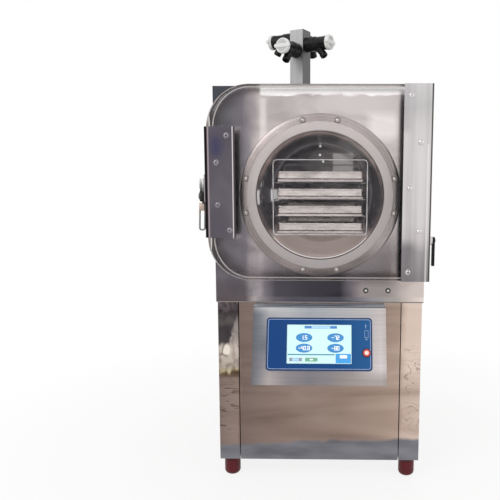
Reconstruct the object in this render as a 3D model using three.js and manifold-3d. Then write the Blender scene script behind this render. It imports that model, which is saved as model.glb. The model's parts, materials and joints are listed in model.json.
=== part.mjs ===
// Shelf freeze dryer: a sheet-steel cabinet with a round vacuum chamber, a clear swing door,
// four heated shelves with trays, a sloped touch console and a four-port flask manifold.
// Millimetres. +X is the right-hand side, -Y the front and +Z up.
// The origin is on the floor, under the middle of the whole machine.

import * as THREE from 'three';
import { mergeVertices } from 'three/addons/utils/BufferGeometryUtils.js';
import Module from 'manifold-3d';

const wasm = await Module();
wasm.setup();

// ---------------------------------------------------------------- driving dimensions

const FIT = 0.3; // gap between pieces that sit together
const RUNNING = 0.8; // gap round a piece that turns or slides
const SHEET = 1.5; // cabinet sheet

// Lower cabinet
const CABINET_WIDTH = 500;
const CABINET_DEPTH = 600;
const BASE_HEIGHT = 406;
const DECK = 2;
const CORNER_RETURN = 50; // the side panels fold this far round the front
const REAR_RETURN = 20;
const SEAM = 2;
const PANEL_LIP = 12;
const PIPE_HOLE = 90; // for the refrigerant pipes, through the deck
const PIPE_HOLE_X = 125;
const PAN_FLOOR = 2;
const PAN_LIP = 25;
const FOOT_HEIGHT = 48;
const FOOT_DIAMETER = 40;
const FOOT_PAD = 18; // flat on the underside of a foot
const FOOT_INSET = 27;

// Chamber housing
const HOUSING_OVERHANG = 3;
const HOUSING_HEIGHT = 512;
const HOUSING_LOUVRE_DROP = 180; // rear louvres below the chamber axis
const FRONT_PLATE = 2;

// Vacuum chamber
const DRUM_BORE = 300;
const DRUM_WALL = 3;
const DRUM_LIFT = 257; // chamber axis above the deck
const FLANGE_DIAMETER = 382;
const FLANGE_THICKNESS = 14;
const FLANGE_BOLT = 9;
const FLANGE_BOLT_CIRCLE = 358;
const FLANGE_BOLT_SPREAD = 13; // degrees either side of top, bottom, left and right
const GASKET_DIAMETER = 344;
const GASKET_THICKNESS = 6;
const COIL_TUBE = 10;
const COIL_TURNS = 4;
const COIL_PITCH = 70;
const COIL_START = 118; // first turn, behind the front plate
const INSULATION = 14;

// Shelf rack
const RACK_WIDTH = 230;
const RACK_HEIGHT = 183;
const RACK_SETBACK = 12;
const RACK_REAR_GAP = 35; // rack to the drum's back wall
const RACK_OVERHANG = 15; // the rack stands this far out of the shelves, front and rear
const RACK_CROSSBAR_INSET = 60; // cross bars under a shelf, from its ends
const RACK_BAR = 4;
const RACK_RAIL = 3; // side rails, thinner than the other bars
const RACK_CORNER = 14;
const SHELF_COUNT = 4;
const SHELF_PITCH = 41.5;
const SHELF_WIDTH = 206;
const SHELF_DEPTH = 350;
const SHELF_THICKNESS = 6;
const TRAY_MARGIN = 2;
const TRAY_HEIGHT = 19;
const TRAY_WALL = 1;

// Door
const DOOR_THICKNESS = 30;
const DOOR_HEIGHT = 451;
const DOOR_DROP = 2; // door top below the housing top
const DOOR_OVERHANG = 8; // left edge outside the housing
const DOOR_CORNER = 75;
const PLATE = 3; // hinge plate and latch plate
const HINGE_PLATE_WIDTH = 66;
const HINGE_SETBACK = 22; // hinge axis behind the front plate
const HINGE_BARREL = 9;
const HINGE_PIN = 4;
const HINGE_KNUCKLES = 5;
const HINGE_LEAF = 2;
const HINGE_LEAF_DEPTH = 36;
const HINGE_BOLTS = [0.06, 0.29, 0.52, 0.74, 0.95]; // shares of the door's height, from its top
const HINGE_BOLT_COLUMNS = [0.76, 0.4]; // shares of the plate's width, from the hinge axis
const LATCH_PLATE_WIDTH = 70;
const LATCH_PLATE_HEIGHT = 254;
const LATCH_PLATE_LIFT = 101; // above the bottom of the door
const LATCH_FLANGE_DEPTH = 38;
const LATCH_BOLTS = [[0.73, 0.92], [0.39, 0.68], [0.42, 0.3], [0.8, 0.07]]; // shares of width and height
const PLATE_BOLT = 12;
const BOLT_HEAD = 0.35; // head height, as a share of its diameter

// Door latch: a sprung side hook that catches a pin on the housing
const LATCH_PIVOT_LIFT = 197; // above the bottom of the door
const LATCH_HOOK_PLATE = 4;
const LATCH_HOOK_WIDTH = 12;
const LATCH_REACH = 45; // pivot to keeper pin, front to back
const LATCH_RISE = 30; // pivot to keeper pin, upwards
const LATCH_CATCH = 5; // the hook tip stands this far up behind the pin
const LATCH_REST = 7; // degrees that the hook hangs open at rest
const LATCH_PIN = 8;
const LATCH_PIN_CAP = 14;
const LATCH_DISC = 26;
const LATCH_DISC_THICKNESS = 7;
const LATCH_HUB = 24;
const LATCH_EAR = 18; // carries the finger loop
const LATCH_EAR_DROP = 34;
const LATCH_NOSE_RISE = 40;
const LATCH_NOSE = 12;
const LATCH_LOOP_LENGTH = 44;
const LATCH_LOOP_WIRE = 3;
const LATCH_THROAT_CLEARANCE = 8; // hook body below the keeper pin
const LATCH_CLAW = 8;
const LATCH_BASE_WIDTH = 26;
const LATCH_BASE_LOW = 14;
const LATCH_BASE_HIGH = 50;
const KEEPER_PIN = 8;
const KEEPER_MARGIN = 1; // pin end beyond the hook
const KEEPER_FOOT_HEIGHT = 36;
const KEEPER_FOOT_FRONT = 7;
const KEEPER_FOOT_REAR = 19;

// Touch console
const CONSOLE_WIDTH = 315;
const CONSOLE_HEIGHT = 175;
const CONSOLE_DROP = 2; // console top below the top of the front panel
const CONSOLE_TOP_REACH = 39;
const CONSOLE_REACH = 99;
const CONSOLE_MARGIN = 30; // front panel left round its opening behind the console
const BEZEL_WIDTH = 249;
const BEZEL_HEIGHT = 124;
const BEZEL_THICKNESS = 3;
const BEZEL_CORNER = 8;
const BEZEL_SHIFT = 3; // bezel centre above the middle of the face
const DISPLAY_WIDTH = 152.4;
const DISPLAY_HEIGHT = 91.4;
const DISPLAY_DEPTH = 14;
const DISPLAY_RIM = 3; // the display's body round its glass
const DISPLAY_GAP = 4; // window in the console round the glass
const DISPLAY_PROUD = 2;
const BUTTON_DIAMETER = 18;
const BUTTON_X = 111;
const BUTTON_DROP = 20;
const BUTTON_PROUD = 4;
const BUTTON_COLLAR = 2; // keeps the button behind the console's sheet
const USB_WIDTH = 7;
const USB_HEIGHT = 15;
const USB_RISE = 24;

// Flask manifold
const MAST_WIDTH = 36;
const MAST_WALL = 3;
const MAST_RISE = 139; // above the housing top
const MAST_X = -50;
const MAST_SETBACK = 66;
const MAST_TURN = 28; // degrees
const PORT_BORE = 12;
const VALVE_COUNT = 4;
const VALVE_DIAMETER = 34;
const VALVE_LENGTH = 56;
const VALVE_NECK = 31; // diameter of the outer end
const VALVE_COLLAR = 27; // length of the thick end
const VALVE_STEP = 2;
const VALVE_DROP = 49; // lowest valve below the mast top
const VALVE_RISES = [0, 15, 31, 30]; // front left, front right, rear right, rear left
const OUTLET_DIAMETER = 18;
const OUTLET_BORE = 11;
const OUTLET_LENGTH = 38;
const OUTLET_TILT = 35; // degrees from straight down
const KNOB_DIAMETER = 35;
const KNOB_RIM = 10;
const KNOB_CHAMFER = 2.5;
const KNOB_GRIP = 3; // the grip bar stands this far out of the rim
const KNOB_GRIP_SUNK = 6;
const KNOB_GRIP_LENGTH = 41;
const KNOB_GRIP_WIDTH = 9;
const KNOB_STEM = 10;
const KNOB_STEM_LENGTH = 8;

// Vent valve on the right-hand side
const VENT_DROP = 113; // below the chamber axis
const VENT_SETBACK = 88;
const VENT_PIPE = 16;
const VENT_BODY = 24;
const VENT_BODY_LENGTH = 31;
const VENT_BORE = 8;
const VENT_END_WALL = 6;
const VENT_NOZZLE = 10;
const VENT_STEM = 8;
const VENT_STEM_MARGIN = 3; // stem end beyond the lever
const VENT_LEVER_HUB = 17;
const VENT_LEVER_LENGTH = 66;
const VENT_LEVER_WIDTH = 11;
const VENT_LEVER_THICKNESS = 7;

// Vacuum port at the back
const PORT_PIPE = 40;
const PORT_WALL = 2.5;
const PORT_FLANGE = 56;
const PORT_FLANGE_THICKNESS = 7;
const PORT_FLANGE_BEVEL = 3;
const PORT_REACH = 30;

// Refrigeration and electrics in the lower cabinet
const COMPRESSOR_DIAMETER = 168;
const COMPRESSOR_HEIGHT = 190;
const COMPRESSOR_X = -120;
const COMPRESSOR_SETBACK = 190;
const COMPRESSOR_STAND = 4;
const COMPRESSOR_OUTLINE = [ // shares of its radius and height
  [0, 0], [0.7, 0], [0.94, 0.1], [1, 0.3], [1, 0.62], [0.93, 0.82], [0.65, 0.96], [0, 1],
];
const FAN_DIAMETER = 190;
const FAN_DEPTH = 32;
const FAN_X = -60;
const FAN_LIFT = 160; // fan axis above the cabinet floor
const FAN_HOLE_GAP = 6; // rear panel's hole round the blade tips
const FAN_BLADES = 5;
const FAN_BLADE_WIDTH = 38;
const FAN_BLADE_THICKNESS = 2;
const FAN_BLADE_ROOT = 4; // blades sunk in the hub
const FAN_BLADE_PITCH = 28; // degrees
const FAN_HUB = 56;
const FAN_SHAFT = 8;
const FAN_SHAFT_INSET = 4; // shaft end inside the shroud's rear edge
const FAN_HUB_INSET = 5;
const FAN_MOTOR = 48;
const FAN_MOTOR_DEPTH = 7;
const FAN_ARMS = 3;
const FAN_ARM_WIDTH = 10;
const SHROUD_SIZE = 236;
const SHROUD_PLATE = 3;
const SHROUD_GAP = 4; // shroud round the blade tips
const GUARD_WIRE = 4;
const GUARD_RINGS = 3;
const GUARD_LAP = 10; // outer ring beyond the blade tips
const GUARD_SPOKES = 2; // each right across the guard
const CONDENSER_DEPTH = 44;
const CONDENSER_FINS = 13;
const CONDENSER_GAP = 0.6; // share of the fin pitch
const CONDENSER_SLOT_DEPTH = 26;
const CONDENSER_FRAME = 8;
const CONTROL_WIDTH = 150;
const CONTROL_DEPTH = 250;
const CONTROL_HEIGHT = 190;
const CONTROL_X = 145;
const CONTROL_SETBACK = 160;
const CABLE_HOLE = 40;
const INLET_INSET = 100; // inlet axis inside the cabinet's right-hand side
const INLET_LIFT = 95;
const INLET_WIDTH = 48;
const INLET_HEIGHT = 60;
const INLET_RIM = 3;
const INLET_LAP = 4; // rim beyond the panel's opening
const INLET_TUB = 26;
const INLET_TUB_INSET = 5;
const SOCKET_WIDTH = 24;
const SOCKET_HEIGHT = 15;
const SOCKET_DEPTH = 18;
const SOCKET_LIFT = 9; // above the inlet's lower edge
const PIN_PITCH = 7;
const PIN_WIDTH = 2;
const PIN_HEIGHT = 5;
const PIN_INSET = 4;
const SWITCH_RISE = 12; // switch axle above the inlet's middle
const SWITCH_SIZE = 18;
const SWITCH_GAP = 0.6;
const SWITCH_DEPTH = 10;
const SWITCH_AXLE = 2.4;
const SWITCH_AXLE_INSET = 1; // axle inside the panel's face
const SWITCH_TILT = 10; // degrees, the off side pressed in
const LOUVRE_COUNT = 9;
const LOUVRE_WIDTH = 90;
const LOUVRE_PITCH = 14;
const LOUVRE_SLOT = 4;

// Facets
const DRUM_SIDES = 64;
const JACKET_SIDES = 32;
const COIL_SIDES = 20;
const SMALL_SIDES = 12;
const VALVE_SIDES = 16;

// ---------------------------------------------------------------- main places

const floorZ = FOOT_HEIGHT;
const deckZ = floorZ + BASE_HEIGHT;
const housingZ = deckZ + FIT;
const topZ = deckZ + HOUSING_HEIGHT;
const chamberZ = deckZ + DRUM_LIFT;
const halfCabinet = CABINET_WIDTH / 2;
const halfHousing = halfCabinet + HOUSING_OVERHANG;
const frontY = -(CABINET_DEPTH + PORT_REACH - CONSOLE_REACH) / 2;
const rearY = frontY + CABINET_DEPTH;
const plateY = frontY - HOUSING_OVERHANG; // outer face of the housing's front plate
const housingRearY = rearY + HOUSING_OVERHANG;
const rearPanelY = rearY - SHEET - FIT; // outer face of the lower rear panel
const panTopZ = floorZ + PAN_FLOOR;
const inletX = halfCabinet - INLET_INSET;
const drumRadius = DRUM_BORE / 2 + DRUM_WALL;
const rackDepth = SHELF_DEPTH + 2 * RACK_OVERHANG;
const drumDepth = RACK_SETBACK + rackDepth + RACK_REAR_GAP + DRUM_WALL;

// ---------------------------------------------------------------- finishes

function finish(color, roughness, metalness) {
  return new THREE.MeshStandardMaterial({ color, roughness, metalness });
}

const polishedSteel = finish(0xa79d99, 0.22, 1);
const brushedSteel = finish(0x9ea1a6, 0.35, 1);
const brightWire = finish(0xc4c4c6, 0.25, 1);
const acrylic = finish(0xdfe4e6, 0.05, 0);
const silicone = finish(0xb9bfc2, 0.6, 0);
const redRubber = finish(0x6e1f24, 0.6, 0);
const blackPlastic = finish(0x17181a, 0.5, 0);
const whitePlastic = finish(0xe9e9e7, 0.4, 0);
const bluePanel = finish(0x234c86, 0.35, 0);
const screenGlass = finish(0xdff4fb, 0.15, 0);
const redButton = finish(0xd8473f, 0.35, 0);
const blackFoam = finish(0x26282b, 0.9, 0);
const copper = finish(0xb4704a, 0.35, 1);
const blackPaint = finish(0x1d1e20, 0.45, 0.3);
const finAluminium = finish(0xaeb2b5, 0.5, 1);
const greyEnamel = finish(0x9a9da0, 0.5, 0.2);

// ---------------------------------------------------------------- solids

function toSolid(geometry) {
  const bare = geometry.clone();
  bare.deleteAttribute('normal');
  bare.deleteAttribute('uv');
  const merged = mergeVertices(bare, 1e-4);
  return new wasm.Manifold(new wasm.Mesh({
    numProp: 3,
    vertProperties: new Float32Array(merged.attributes.position.array),
    triVerts: new Uint32Array(merged.index.array),
  }));
}

function toGeometry(solid) {
  const mesh = solid.getMesh();
  const geometry = new THREE.BufferGeometry();
  geometry.setAttribute('position', new THREE.BufferAttribute(new Float32Array(mesh.vertProperties), 3));
  geometry.setIndex(new THREE.BufferAttribute(new Uint32Array(mesh.triVerts), 1));
  geometry.computeVertexNormals();
  return geometry;
}

function join(...bodies) {
  return toGeometry(bodies.map(toSolid).reduce((all, next) => all.add(next)));
}

function cut(body, ...tools) {
  return toGeometry(tools.map(toSolid).reduce((rest, tool) => rest.subtract(tool), toSolid(body)));
}

// A box between two values on each axis.
function block(x0, x1, y0, y1, z0, z1) {
  const box = new THREE.BoxGeometry(x1 - x0, y1 - y0, z1 - z0);
  return box.translate((x0 + x1) / 2, (y0 + y1) / 2, (z0 + z1) / 2);
}

// Round bars along one axis, between two values on it. The centre is given on the other two axes.
function rodX(diameter, x0, x1, y, z, sides = SMALL_SIDES) {
  const rod = new THREE.CylinderGeometry(diameter / 2, diameter / 2, x1 - x0, sides);
  return rod.rotateZ(Math.PI / 2).translate((x0 + x1) / 2, y, z);
}

function rodY(diameter, y0, y1, x, z, sides = SMALL_SIDES) {
  const rod = new THREE.CylinderGeometry(diameter / 2, diameter / 2, y1 - y0, sides);
  return rod.translate(x, (y0 + y1) / 2, z);
}

function rodZ(diameter, z0, z1, x, y, sides = SMALL_SIDES) {
  const rod = new THREE.CylinderGeometry(diameter / 2, diameter / 2, z1 - z0, sides);
  return rod.rotateX(Math.PI / 2).translate(x, y, (z0 + z1) / 2);
}

// A round bar between two points.
function strut(from, to, diameter, sides = 6) {
  const start = new THREE.Vector3(...from);
  const along = new THREE.Vector3(...to).sub(start);
  const rod = new THREE.CylinderGeometry(diameter / 2, diameter / 2, along.length(), sides);
  const upward = new THREE.Vector3(0, 1, 0);
  const turn = new THREE.Quaternion().setFromUnitVectors(upward, along.clone().normalize());
  return rod.applyQuaternion(turn).translate(...start.addScaledVector(along, 0.5).toArray());
}

// A straight-sided outline.
function outline(points) {
  return new THREE.Shape(points.map(([u, v]) => new THREE.Vector2(u, v)));
}

// A rectangle whose left and right corners have their own radii.
function roundedOutline(u0, u1, v0, v1, leftRadius, rightRadius) {
  const shape = new THREE.Shape();
  shape.moveTo(u0 + leftRadius, v0);
  shape.lineTo(u1 - rightRadius, v0);
  if (rightRadius) shape.absarc(u1 - rightRadius, v0 + rightRadius, rightRadius, -Math.PI / 2, 0);
  shape.lineTo(u1, v1 - rightRadius);
  if (rightRadius) shape.absarc(u1 - rightRadius, v1 - rightRadius, rightRadius, 0, Math.PI / 2);
  shape.lineTo(u0 + leftRadius, v1);
  if (leftRadius) shape.absarc(u0 + leftRadius, v1 - leftRadius, leftRadius, Math.PI / 2, Math.PI);
  shape.lineTo(u0, v0 + leftRadius);
  if (leftRadius) shape.absarc(u0 + leftRadius, v0 + leftRadius, leftRadius, Math.PI, Math.PI * 1.5);
  return shape;
}

// A plan outline (x, y), raised from z0 to z1.
function upright(shape, z0, z1) {
  return new THREE.ExtrudeGeometry(shape, { depth: z1 - z0, bevelEnabled: false }).translate(0, 0, z0);
}

// A front-view outline (x, z), carried from y0 back to y1.
function frontal(shape, y0, y1, curveSegments = 8) {
  const body = new THREE.ExtrudeGeometry(shape, { depth: y1 - y0, bevelEnabled: false, curveSegments });
  return body.rotateX(Math.PI / 2).translate(0, y1, 0);
}

// A side-view outline (y, z), carried from x0 to x1.
function sideways(shape, x0, x1) {
  const body = new THREE.ExtrudeGeometry(shape, { depth: x1 - x0, bevelEnabled: false });
  const axes = new THREE.Matrix4().makeBasis(
    new THREE.Vector3(0, 1, 0),
    new THREE.Vector3(0, 0, 1),
    new THREE.Vector3(1, 0, 0),
  );
  return body.applyMatrix4(axes).translate(x0, 0, 0);
}

// A turned body about the Y axis, from a closed ring of [radius, y] points.
function turnedY(profile, sides) {
  const points = profile.map(([radius, y]) => new THREE.Vector2(radius, y));
  const body = new THREE.LatheGeometry(points, sides);
  return toSolid(body).volume() < 0 ? turnedInsideOut(points, sides) : body;
}

function turnedInsideOut(points, sides) {
  return new THREE.LatheGeometry([...points].reverse(), sides);
}

// The same about the Z axis, from [radius, z] points.
function turnedZ(profile, sides) {
  return turnedY(profile, sides).rotateX(Math.PI / 2);
}

// A flat ring about the Y axis.
function ringY(outerDiameter, innerDiameter, y0, y1, sides) {
  const outer = outerDiameter / 2;
  const inner = innerDiameter / 2;
  return turnedY([[inner, y0], [outer, y0], [outer, y1], [inner, y1], [inner, y0]], sides);
}

// The diameter of a many-sided hole that clears a round body of the given diameter.
function clearHole(diameter, gap, sides) {
  return (diameter + 2 * gap) / Math.cos(Math.PI / sides);
}

const degrees = (angle) => THREE.MathUtils.degToRad(angle);

const machine = new THREE.Group();

function group(parent, x = 0, y = 0, z = 0) {
  const node = new THREE.Group();
  node.position.set(x, y, z);
  parent.add(node);
  return node;
}

function piece(parent, name, geometry, material) {
  const mesh = new THREE.Mesh(geometry, material);
  mesh.name = name;
  parent.add(mesh);
  return mesh;
}

// ---------------------------------------------------------------- lower cabinet

function buildFeet() {
  const radius = FOOT_DIAMETER / 2;
  const pad = FOOT_PAD / 2;
  const profile = [[0, 0], [pad, 0]];
  const steps = 4;
  for (let step = 1; step <= steps; step++) {
    const angle = (step / steps) * (Math.PI / 2);
    profile.push([pad + (radius - pad) * Math.sin(angle), (radius - pad) * (1 - Math.cos(angle))]);
  }
  profile.push([radius, FOOT_HEIGHT - FIT], [0, FOOT_HEIGHT - FIT]);
  const sides = [['left', -1], ['right', 1]];
  const ends = [['front', frontY + FOOT_INSET], ['rear', rearY - FOOT_INSET]];
  for (const [end, y] of ends) {
    for (const [side, sign] of sides) {
      const foot = piece(machine, `foot_${end}_${side}`, turnedZ(profile, 14), redRubber);
      foot.position.set(sign * (halfCabinet - FOOT_INSET), y, 0);
    }
  }
}

function buildPan() {
  const x = halfCabinet - SHEET - FIT;
  const front = frontY + PANEL_LIP + FIT;
  const back = rearPanelY - SHEET - FIT;
  const tray = block(-x, x, front, back, floorZ, floorZ + PAN_LIP);
  const inside = block(-x + SHEET, x - SHEET, front + SHEET, back - SHEET, panTopZ, floorZ + PAN_LIP + 1);
  piece(machine, 'base_pan', cut(tray, inside), brushedSteel);
}

function buildSidePanel(name, side) {
  const outer = side * halfCabinet;
  const inner = side * (halfCabinet - SHEET);
  const frontEdge = side * (halfCabinet - CORNER_RETURN);
  const rearEdge = side * (halfCabinet - REAR_RETURN);
  const plan = outline([
    [outer, frontY], [outer, rearY], [rearEdge, rearY], [rearEdge, rearY - SHEET],
    [inner, rearY - SHEET], [inner, frontY + SHEET], [frontEdge, frontY + SHEET], [frontEdge, frontY],
  ]);
  piece(machine, name, upright(plan, floorZ, deckZ - DECK - FIT), polishedSteel);
}

function buildLowerFront() {
  const x = halfCabinet - CORNER_RETURN - SEAM;
  const lipY = frontY + PANEL_LIP;
  const plan = outline([
    [-x, frontY], [x, frontY], [x, lipY], [x - SHEET, lipY],
    [x - SHEET, frontY + SHEET], [-x + SHEET, frontY + SHEET], [-x + SHEET, lipY], [-x, lipY],
  ]);
  const panel = upright(plan, floorZ, deckZ - DECK - FIT);
  const window = consoleOpening();
  piece(machine, 'lower_front_panel', cut(panel, window), polishedSteel);
}

// The opening behind the console, for the display's body and cables.
function consoleOpening() {
  const x = CONSOLE_WIDTH / 2 - CONSOLE_MARGIN;
  const top = deckZ - DECK - CONSOLE_DROP - CONSOLE_MARGIN;
  const bottom = deckZ - DECK - CONSOLE_DROP - CONSOLE_HEIGHT + CONSOLE_MARGIN;
  return block(-x, x, frontY - 1, frontY + SHEET + 1, bottom, top);
}

function buildLowerRear() {
  const x = halfCabinet - SHEET - FIT;
  const panel = block(-x, x, rearPanelY - SHEET, rearPanelY, floorZ, deckZ - DECK - FIT);
  const y0 = rearPanelY - SHEET - 1;
  const y1 = rearPanelY + 1;
  const fanHole = rodY(FAN_DIAMETER + 2 * FAN_HOLE_GAP, y0, y1, FAN_X, floorZ + FAN_LIFT, 32);
  const inletSide = INLET_WIDTH / 2 - INLET_LAP;
  const inletUp = INLET_HEIGHT / 2 - INLET_LAP;
  const inletZ = floorZ + INLET_LIFT;
  const inletHole = block(
    inletX - inletSide, inletX + inletSide, y0, y1, inletZ - inletUp, inletZ + inletUp,
  );
  const louvres = louvreSlots(inletX, inletZ + INLET_HEIGHT + LOUVRE_PITCH, y0, y1);
  piece(machine, 'lower_rear_panel', cut(panel, fanHole, inletHole, ...louvres), polishedSteel);
}

function louvreSlots(x, z, y0, y1) {
  const slots = [];
  for (let row = 0; row < LOUVRE_COUNT; row++) {
    const low = z + row * LOUVRE_PITCH;
    slots.push(block(x - LOUVRE_WIDTH / 2, x + LOUVRE_WIDTH / 2, y0, y1, low, low + LOUVRE_SLOT));
  }
  return slots;
}

function buildDeck() {
  const plate = block(-halfHousing, halfHousing, plateY, housingRearY, deckZ - DECK, deckZ);
  const pipeHole = rodZ(PIPE_HOLE, deckZ - DECK - 1, deckZ + 1, -PIPE_HOLE_X, rearY - PIPE_HOLE, 24);
  piece(machine, 'mid_deck', cut(plate, pipeHole), brushedSteel);
}

// ---------------------------------------------------------------- chamber housing

const mastY = plateY + MAST_SETBACK;
const ventY = plateY + VENT_SETBACK;
const ventZ = chamberZ - VENT_DROP;

// A square bar in the mast's place, wider than the mast by the gap on each side.
function mastBar(width, z0, z1) {
  const bar = block(-width / 2, width / 2, -width / 2, width / 2, z0, z1);
  return bar.rotateZ(-degrees(MAST_TURN)).translate(MAST_X, mastY, 0);
}

function buildHousing() {
  const inner = halfHousing - SHEET;
  const arch = outline([
    [-halfHousing, housingZ], [-halfHousing, topZ], [halfHousing, topZ], [halfHousing, housingZ],
    [inner, housingZ], [inner, topZ - SHEET], [-inner, topZ - SHEET], [-inner, housingZ],
  ]);
  const shell = frontal(arch, plateY + FRONT_PLATE + FIT, housingRearY - SHEET - FIT);
  const mastHole = mastBar(MAST_WIDTH + 2 * FIT, topZ - SHEET - 1, topZ + 1);
  const ventBore = clearHole(VENT_PIPE, FIT, VALVE_SIDES);
  const ventHole = rodX(ventBore, inner - 1, halfHousing + 1, ventY, ventZ, VALVE_SIDES);
  piece(machine, 'housing_shell', cut(shell, mastHole, ventHole), polishedSteel);

  const front = block(-halfHousing, halfHousing, plateY, plateY + FRONT_PLATE, housingZ, topZ);
  const mouth = rodY(
    clearHole(drumRadius * 2, FIT, DRUM_SIDES), plateY - 1, plateY + FRONT_PLATE + 1, 0, chamberZ, DRUM_SIDES,
  );
  piece(machine, 'housing_front_plate', cut(front, mouth), polishedSteel);

  const rear = block(-halfHousing, halfHousing, housingRearY - SHEET, housingRearY, housingZ, topZ);
  const y0 = housingRearY - SHEET - 1;
  const y1 = housingRearY + 1;
  const portHole = rodY(clearHole(PORT_PIPE, FIT, 24), y0, y1, 0, chamberZ, 24);
  const louvres = louvreSlots(-halfHousing / 2, chamberZ - HOUSING_LOUVRE_DROP, y0, y1);
  piece(machine, 'housing_rear_panel', cut(rear, portHole, ...louvres), polishedSteel);
}

// ---------------------------------------------------------------- vacuum chamber

const drumBackY = plateY + drumDepth;
const coilRadius = (drumRadius + FIT + COIL_TUBE / 2) / Math.cos(Math.PI / COIL_SIDES);
const coilOuter = coilRadius + COIL_TUBE / 2;
const insulationBore = clearHole(coilOuter * 2, FIT, JACKET_SIDES);
const portBore = PORT_PIPE - 2 * PORT_WALL;

function buildDrum() {
  const inner = DRUM_BORE / 2;
  const profile = [
    [inner, plateY], [drumRadius, plateY], [drumRadius, drumBackY], [portBore / 2, drumBackY],
    [portBore / 2, drumBackY - DRUM_WALL], [inner, drumBackY - DRUM_WALL], [inner, plateY],
  ];
  const drum = turnedY(profile, DRUM_SIDES).translate(0, 0, chamberZ);
  const mastPort = rodZ(PORT_BORE * 2, chamberZ + inner / 2, chamberZ + drumRadius * 1.1, MAST_X, mastY);
  const ventPort = rodX(VENT_BORE, inner / 2, drumRadius, ventY, ventZ);
  piece(machine, 'chamber_drum', cut(drum, mastPort, ventPort), brushedSteel);
}

// Refrigerant tube wound round the drum.
class Winding extends THREE.Curve {
  getPoint(t, target = new THREE.Vector3()) {
    const angle = t * COIL_TURNS * Math.PI * 2;
    const y = plateY + COIL_START + t * COIL_TURNS * COIL_PITCH;
    return target.set(coilRadius * Math.cos(angle), y, chamberZ + coilRadius * Math.sin(angle));
  }
}

function buildCoil() {
  const section = new THREE.Shape();
  section.absarc(0, 0, COIL_TUBE / 2, 0, Math.PI * 2);
  const coil = new THREE.ExtrudeGeometry(section, {
    steps: COIL_TURNS * COIL_SIDES, curveSegments: 3, bevelEnabled: false, extrudePath: new Winding(),
  });
  piece(machine, 'cooling_coil', join(coil), copper);
}

function buildInsulation() {
  const y0 = plateY + FRONT_PLATE + FIT;
  const jacket = ringY(coilOuter * 2 + 2 * INSULATION, insulationBore, y0, drumBackY, JACKET_SIDES);
  const mastHole = mastBar(MAST_WIDTH + 2 * RUNNING, chamberZ, topZ);
  const ventHole = rodX(VENT_PIPE + 2 * RUNNING, 0, halfHousing, ventY, ventZ);
  const placed = jacket.translate(0, 0, chamberZ);
  piece(machine, 'drum_insulation', cut(placed, mastHole, ventHole), blackFoam);
}

// A low hexagon-socket bolt head on a face that looks forward.
function boltHead(x, y, z, diameter = PLATE_BOLT) {
  return rodY(diameter, y - diameter * BOLT_HEAD, y + FIT, x, z, 10);
}

const flangeFaceY = plateY - FIT - FLANGE_THICKNESS;

function buildFlange() {
  const ring = ringY(FLANGE_DIAMETER, DRUM_BORE, flangeFaceY, plateY - FIT, DRUM_SIDES);
  const bolts = [];
  for (let side = 0; side < 4; side++) {
    for (const spread of [-FLANGE_BOLT_SPREAD, FLANGE_BOLT_SPREAD]) {
      const angle = degrees(side * 90 + spread);
      const radius = FLANGE_BOLT_CIRCLE / 2;
      bolts.push(boltHead(radius * Math.cos(angle), flangeFaceY, radius * Math.sin(angle), FLANGE_BOLT));
    }
  }
  piece(machine, 'chamber_flange', join(ring, ...bolts).translate(0, 0, chamberZ), polishedSteel);
  const gasket = ringY(GASKET_DIAMETER, DRUM_BORE + 2, gasketFaceY, flangeFaceY - FIT, DRUM_SIDES);
  piece(machine, 'door_gasket', gasket.translate(0, 0, chamberZ), silicone);
}

const gasketFaceY = flangeFaceY - GASKET_THICKNESS + FIT;

// ---------------------------------------------------------------- shelf rack

const drumFloor = (DRUM_BORE / 2) * Math.cos(Math.PI / DRUM_SIDES) - FIT;
const rackFoot = -Math.sqrt(drumFloor ** 2 - (RACK_WIDTH / 2) ** 2);
const shelfBaseZ = rackFoot + RACK_BAR + FIT;

// The frame's outline with its two top corners bent round, taken in by the given amount.
function rackOutline(inset) {
  const side = RACK_WIDTH / 2 - inset;
  const low = rackFoot + inset;
  const bend = RACK_CORNER - inset;
  const high = rackFoot + RACK_HEIGHT - inset - bend;
  const shape = new THREE.Shape();
  shape.moveTo(-side, low);
  shape.lineTo(side, low);
  shape.absarc(side - bend, high, bend, 0, Math.PI / 2);
  shape.absarc(-side + bend, high, bend, Math.PI / 2, Math.PI);
  shape.lineTo(-side, low);
  return shape;
}

function rackFrame(y0, y1) {
  const shape = rackOutline(0);
  shape.holes.push(rackOutline(RACK_BAR));
  return frontal(shape, y0, y1, 3);
}

function railAt(x, z, y0, y1) {
  const half = RACK_RAIL / 2;
  return block(x - half, x + half, y0, y1, z - half, z + half);
}

function buildRack() {
  const rack = group(machine, 0, plateY + RACK_SETBACK, chamberZ);
  const side = RACK_WIDTH / 2;
  const middle = RACK_BAR / 2;
  const bars = [rackFrame(0, RACK_BAR), rackFrame(rackDepth - RACK_BAR, rackDepth)];
  for (let level = 0; level < SHELF_COUNT; level++) {
    const z0 = rackFoot + level * SHELF_PITCH;
    const z1 = z0 + RACK_BAR;
    for (const x of [-side + middle, side - middle]) {
      bars.push(railAt(x, z0 + middle, middle, rackDepth - middle));
    }
    for (const y of [shelfY0 + RACK_CROSSBAR_INSET, shelfY0 + SHELF_DEPTH - RACK_CROSSBAR_INSET]) {
      bars.push(block(-side + middle, side - middle, y, y + RACK_BAR, z0, z1));
    }
  }
  piece(rack, 'shelf_rack', join(...bars), brightWire);

  for (let level = 0; level < SHELF_COUNT; level++) {
    const z = shelfBaseZ + level * SHELF_PITCH;
    const half = SHELF_WIDTH / 2;
    const plate = block(-half, half, shelfY0, shelfY0 + SHELF_DEPTH, z, z + SHELF_THICKNESS);
    piece(rack, `shelf_${level + 1}`, plate, brushedSteel);
    piece(rack, `tray_${level + 1}`, trayAt(z + SHELF_THICKNESS + FIT), polishedSteel);
  }
}

const shelfY0 = RACK_OVERHANG - RACK_BAR;

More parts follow.
